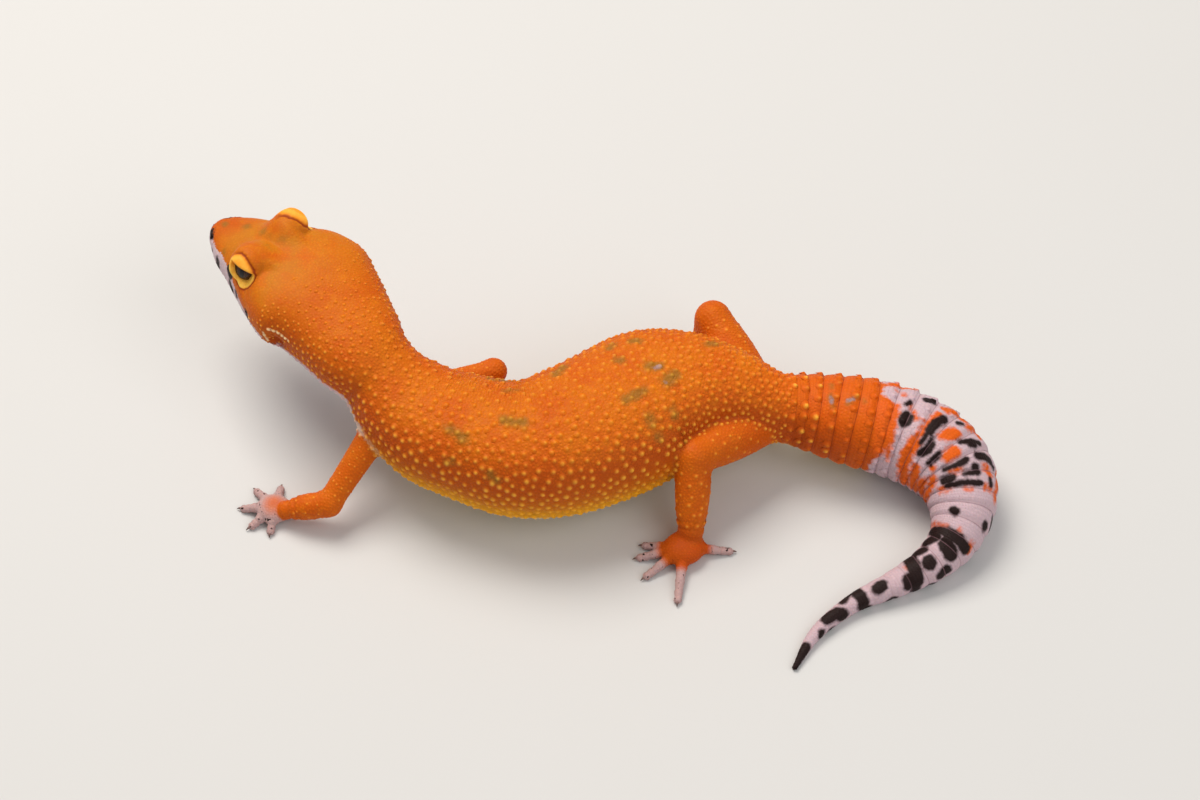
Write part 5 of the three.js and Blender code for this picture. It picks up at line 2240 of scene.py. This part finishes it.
@dataclass
class Eye:
    """One eyeball with a raised cornea."""

    form: GeckoForm
    shift: Array
    side: int
    rings: int = 40
    sides: int = 56
    cornea: float = 0.16
    gaze: tuple[float, float, float] = (-0.75, -0.5, 2.9)
    iris: float = 2.3
    pupil: tuple[float, float] = (0.42, 1.7)
    clear: float = 0.2

    def build(self, finish: bpy.types.Material) -> bpy.types.Object:
        """Makes the eyeball.

        Args:
            finish: Its material.

        Returns:
            The piece, which stands for the frame's eye.
        """
        spine, seat = self.form.spine, self.form.features.seat
        middle = spine.head_point(seat.back, self.side * seat.side, seat.up)
        c, s = math.cos(seat.lean), math.sin(seat.lean)
        front = spine.forward
        outward = self.side * spine.leftward * c + spine.upward * -s
        rise = self.side * spine.leftward * s + spine.upward * c
        gaze = unit(front * self.gaze[0] + rise * self.gaze[1] + outward * self.gaze[2])
        across = unit(np.cross(rise, gaze))
        upright = np.cross(gaze, across)
        tilt = np.linspace(0, np.pi, self.rings + 1)[1:-1]
        turn = np.linspace(0, 2 * np.pi, self.sides, endpoint=False)
        t, a = np.meshgrid(tilt, turn, indexing="ij")
        ball = seat.ball - self.clear
        radius = ball + self.cornea * ramp(-t, -0.75, -0.3)
        local = np.stack([np.sin(t) * np.cos(a), np.sin(t) * np.sin(a), np.cos(t)], -1) * radius[..., None]
        local = np.vstack([local.reshape(-1, 3), [[0, 0, ball + self.cornea]], [[0, 0, -ball]]])
        points = middle + local @ np.stack([across, upright, gaze])
        rows = self.rings - 1
        faces = []
        for i in range(rows - 1):
            for j in range(self.sides):
                p, q = i * self.sides + j, i * self.sides + (j + 1) % self.sides
                faces += [(p, p + self.sides, q + self.sides), (p, q + self.sides, q)]
        top, bottom, last = rows * self.sides, rows * self.sides + 1, (rows - 1) * self.sides
        for j in range(self.sides):
            faces += [(top, j, (j + 1) % self.sides), (bottom, last + (j + 1) % self.sides, last + j)]
        name = "eyeball_left" if self.side > 0 else "eyeball_right"
        piece = make_mesh(name, points, np.array(faces), self.shift, finish)
        off = np.hypot(local[:, 0], local[:, 1])
        wide, tall = self.pupil
        slit = np.sqrt((local[:, 0] / wide) ** 2 + (local[:, 1] / tall) ** 2)
        values = {"round": off / self.iris, "slit": np.where(local[:, 2] > 0, slit, 9.0)}
        hand_over(piece, values, "eye", "eye_left" if self.side > 0 else "eye_right")
        return piece


@dataclass
class Claws:
    """The five claws of one foot."""

    limb: Limb
    shift: Array
    length: float = 1.1
    radius: float = 0.33
    sides: int = 10
    steps: int = 9

    def build(self, finish: bpy.types.Material) -> bpy.types.Object:
        """Makes the claws as one piece.

        Args:
            finish: Their material.

        Returns:
            The piece.
        """
        points, faces, tips = [], [], []
        for path, girth in self.limb.chains:
            end, out = path[-1], unit((path[-1] - path[-3]) * [1.0, 1.0, 0.0])
            side = np.cross(out, [0.0, 0.0, 1.0])
            start = end + out * (girth[-1] - 0.4)
            for i in range(self.steps):
                t = i / (self.steps - 1)
                middle = start + out * self.length * t
                middle[2] = end[2] + 0.16 * math.sin(math.pi * t * 0.8) - (end[2] - 0.2) * t**2
                radius = self.radius * (1 - t) ** 0.7 + 0.035
                turn = np.linspace(0, 2 * np.pi, self.sides, endpoint=False)
                ring = middle + np.cos(turn)[:, None] * side * radius * 0.8
                ring[:, 2] += np.sin(turn) * radius
                points.append(ring)
                tips.append(np.full(self.sides, t))
            base = (len(points) - self.steps) * self.sides
            for i in range(self.steps - 1):
                for j in range(self.sides):
                    p, q = base + i * self.sides + j, base + i * self.sides + (j + 1) % self.sides
                    faces += [(p, q, q + self.sides), (p, q + self.sides, p + self.sides)]
            last = base + (self.steps - 1) * self.sides
            faces += [(last, last + j, last + j + 1) for j in range(1, self.sides - 1)]
            faces += [(base, base + j + 1, base + j) for j in range(1, self.sides - 1)]
        vertices = np.vstack(points)
        vertices[:, 2] = np.maximum(vertices[:, 2], 0.04)
        piece = make_mesh(f"claws_{self.limb.name}", vertices, np.array(faces), self.shift, finish)
        hand_over(piece, {"tip": np.concatenate(tips)}, "toe_skin")
        return piece


@dataclass
class Skin:
    """The one skin over head, trunk, tail and limbs."""

    form: GeckoForm
    pattern: Pattern
    shift: Array
    cell: float = 0.45
    flesh: tuple[str, ...] = (
        "head", "lower_jaw", "neck", "chest", "belly", "pelvis",
        "tail_base", "tail_bend", "tail_taper", "tail_tip",
        *(f"{part}_{side}" for side in ("left", "right") for part in
          ("upper_arm", "forearm", "hand", "thigh", "shin", "foot")),
    )

    def build(self, finish: bpy.types.Material) -> tuple[Array, Array]:
        """Makes the skin.

        Args:
            finish: Its material.

        Returns:
            Its vertices and faces.
        """
        points, faces = SkinNet(self.form, self.cell).build(self.shift)
        piece = make_mesh("skin", points, faces, self.shift, finish)
        hand_over(piece, self.pattern.values(points), "body_skin", *self.flesh)
        return points, faces


@dataclass
class Studio:
    """A pale floor, soft light and the camera."""

    shift: Array
    distance: float = 617.2
    height: float = 53.0
    lens: float = 100.0
    sensor: float = 36.0
    reach: float = 1500.0
    sky: tuple[float, float, float, float] = (1.0, 0.98, 0.95, 1.0)
    sky_strength: float = 0.4

    def lamp(
        self, name: str, place: tuple[float, float, float], size: float, power: float, warm: float,
    ) -> None:
        """Hangs one soft square light, turned to the animal.

        Args:
            name: Its name.
            place: Where it hangs, in metres.
            size: Its edge in metres.
            power: Its power in watts.
            warm: How warm its light is, from 0 to 1.
        """
        light = bpy.data.lights.new(name, "AREA")
        light.size = size
        light.energy = power
        light.color = (1.0, 1.0 - 0.06 * warm, 1.0 - 0.14 * warm)
        lamp = bpy.data.objects.new(name, light)
        lamp.location = place
        out = np.array(place) / np.linalg.norm(place)
        lamp.rotation_euler = (math.acos(out[2]), 0.0, math.atan2(out[1], out[0]) + math.pi / 2)
        bpy.context.scene.collection.objects.link(lamp)

    def build(self) -> None:
        """Sets up the floor, lights and camera."""
        corners = ((-1, -1, 0), (1, -1, 0), (1, 1, 0), (-1, 1, 0))
        points = self.reach * np.array(corners, float)
        pale = FloorFinish().make("floor")
        make_mesh("floor", points, np.array([[0, 1, 2, 3]]), np.zeros(3), pale, False)
        self.lamp("key", (-0.25, 0.35, 0.75), 0.5, 6.6, 1.0)
        self.lamp("fill", (0.45, -0.35, 0.6), 0.6, 2.0, 0.0)
        world = bpy.data.worlds.new("studio")
        world.use_nodes = True
        sky = world.node_tree.nodes["Background"]
        sky.inputs["Color"].default_value = self.sky
        sky.inputs["Strength"].default_value = self.sky_strength
        bpy.context.scene.world = world
        tilt = math.radians(self.height)
        data = bpy.data.cameras.new("camera")
        data.lens = self.lens
        data.sensor_width = self.sensor
        camera = bpy.data.objects.new("camera", data)
        place = np.array([0.0, -self.distance * math.cos(tilt), self.distance * math.sin(tilt)])
        place = place + self.shift
        camera.location = place * MM
        camera.rotation_euler = (math.pi / 2 - tilt, 0.0, 0.0)
        bpy.context.scene.collection.objects.link(camera)
        bpy.context.scene.camera = camera
        bpy.context.scene.view_settings.view_transform = "Standard"
        log.info("studio: floor, two lamps, camera")


def frame_shift(form: GeckoForm) -> Array:
    """Finds the move from the form's frame to the model's, from where the frame's left eye is.

    Args:
        form: The form.

    Returns:
        The move in millimetres.
    """
    low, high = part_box("eye_left")
    seat = form.features.seat
    middle = (np.array(low) + np.array(high)) / 2 / MM
    shift = middle - form.spine.head_point(seat.back, seat.side, seat.up)
    return np.array([shift[0], shift[1], 0.0])


def main() -> None:
    """Builds the gecko."""
    logging.basicConfig(level=logging.INFO, format="%(message)s")
    form = GeckoForm()
    shift = frame_shift(form)
    log.info("frame: moved by %s", np.round(shift, 4).tolist())
    pattern = Pattern(form)
    hide = HideFinish()
    points, faces = Skin(form, pattern, shift).build(hide.make("hide", False))
    Coat(form, pattern, shift).dress(points, faces, hide.make("scales", True))
    wet = EyeFinish().make("eye")
    for side in (1, -1):
        Eye(form, shift, side).build(wet)
    horn = ClawFinish().make("horn")
    for limb in form.limbs:
        Claws(limb, shift).build(horn)
    Studio(shift).build()
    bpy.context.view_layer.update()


if __name__ == "__main__":
    main()
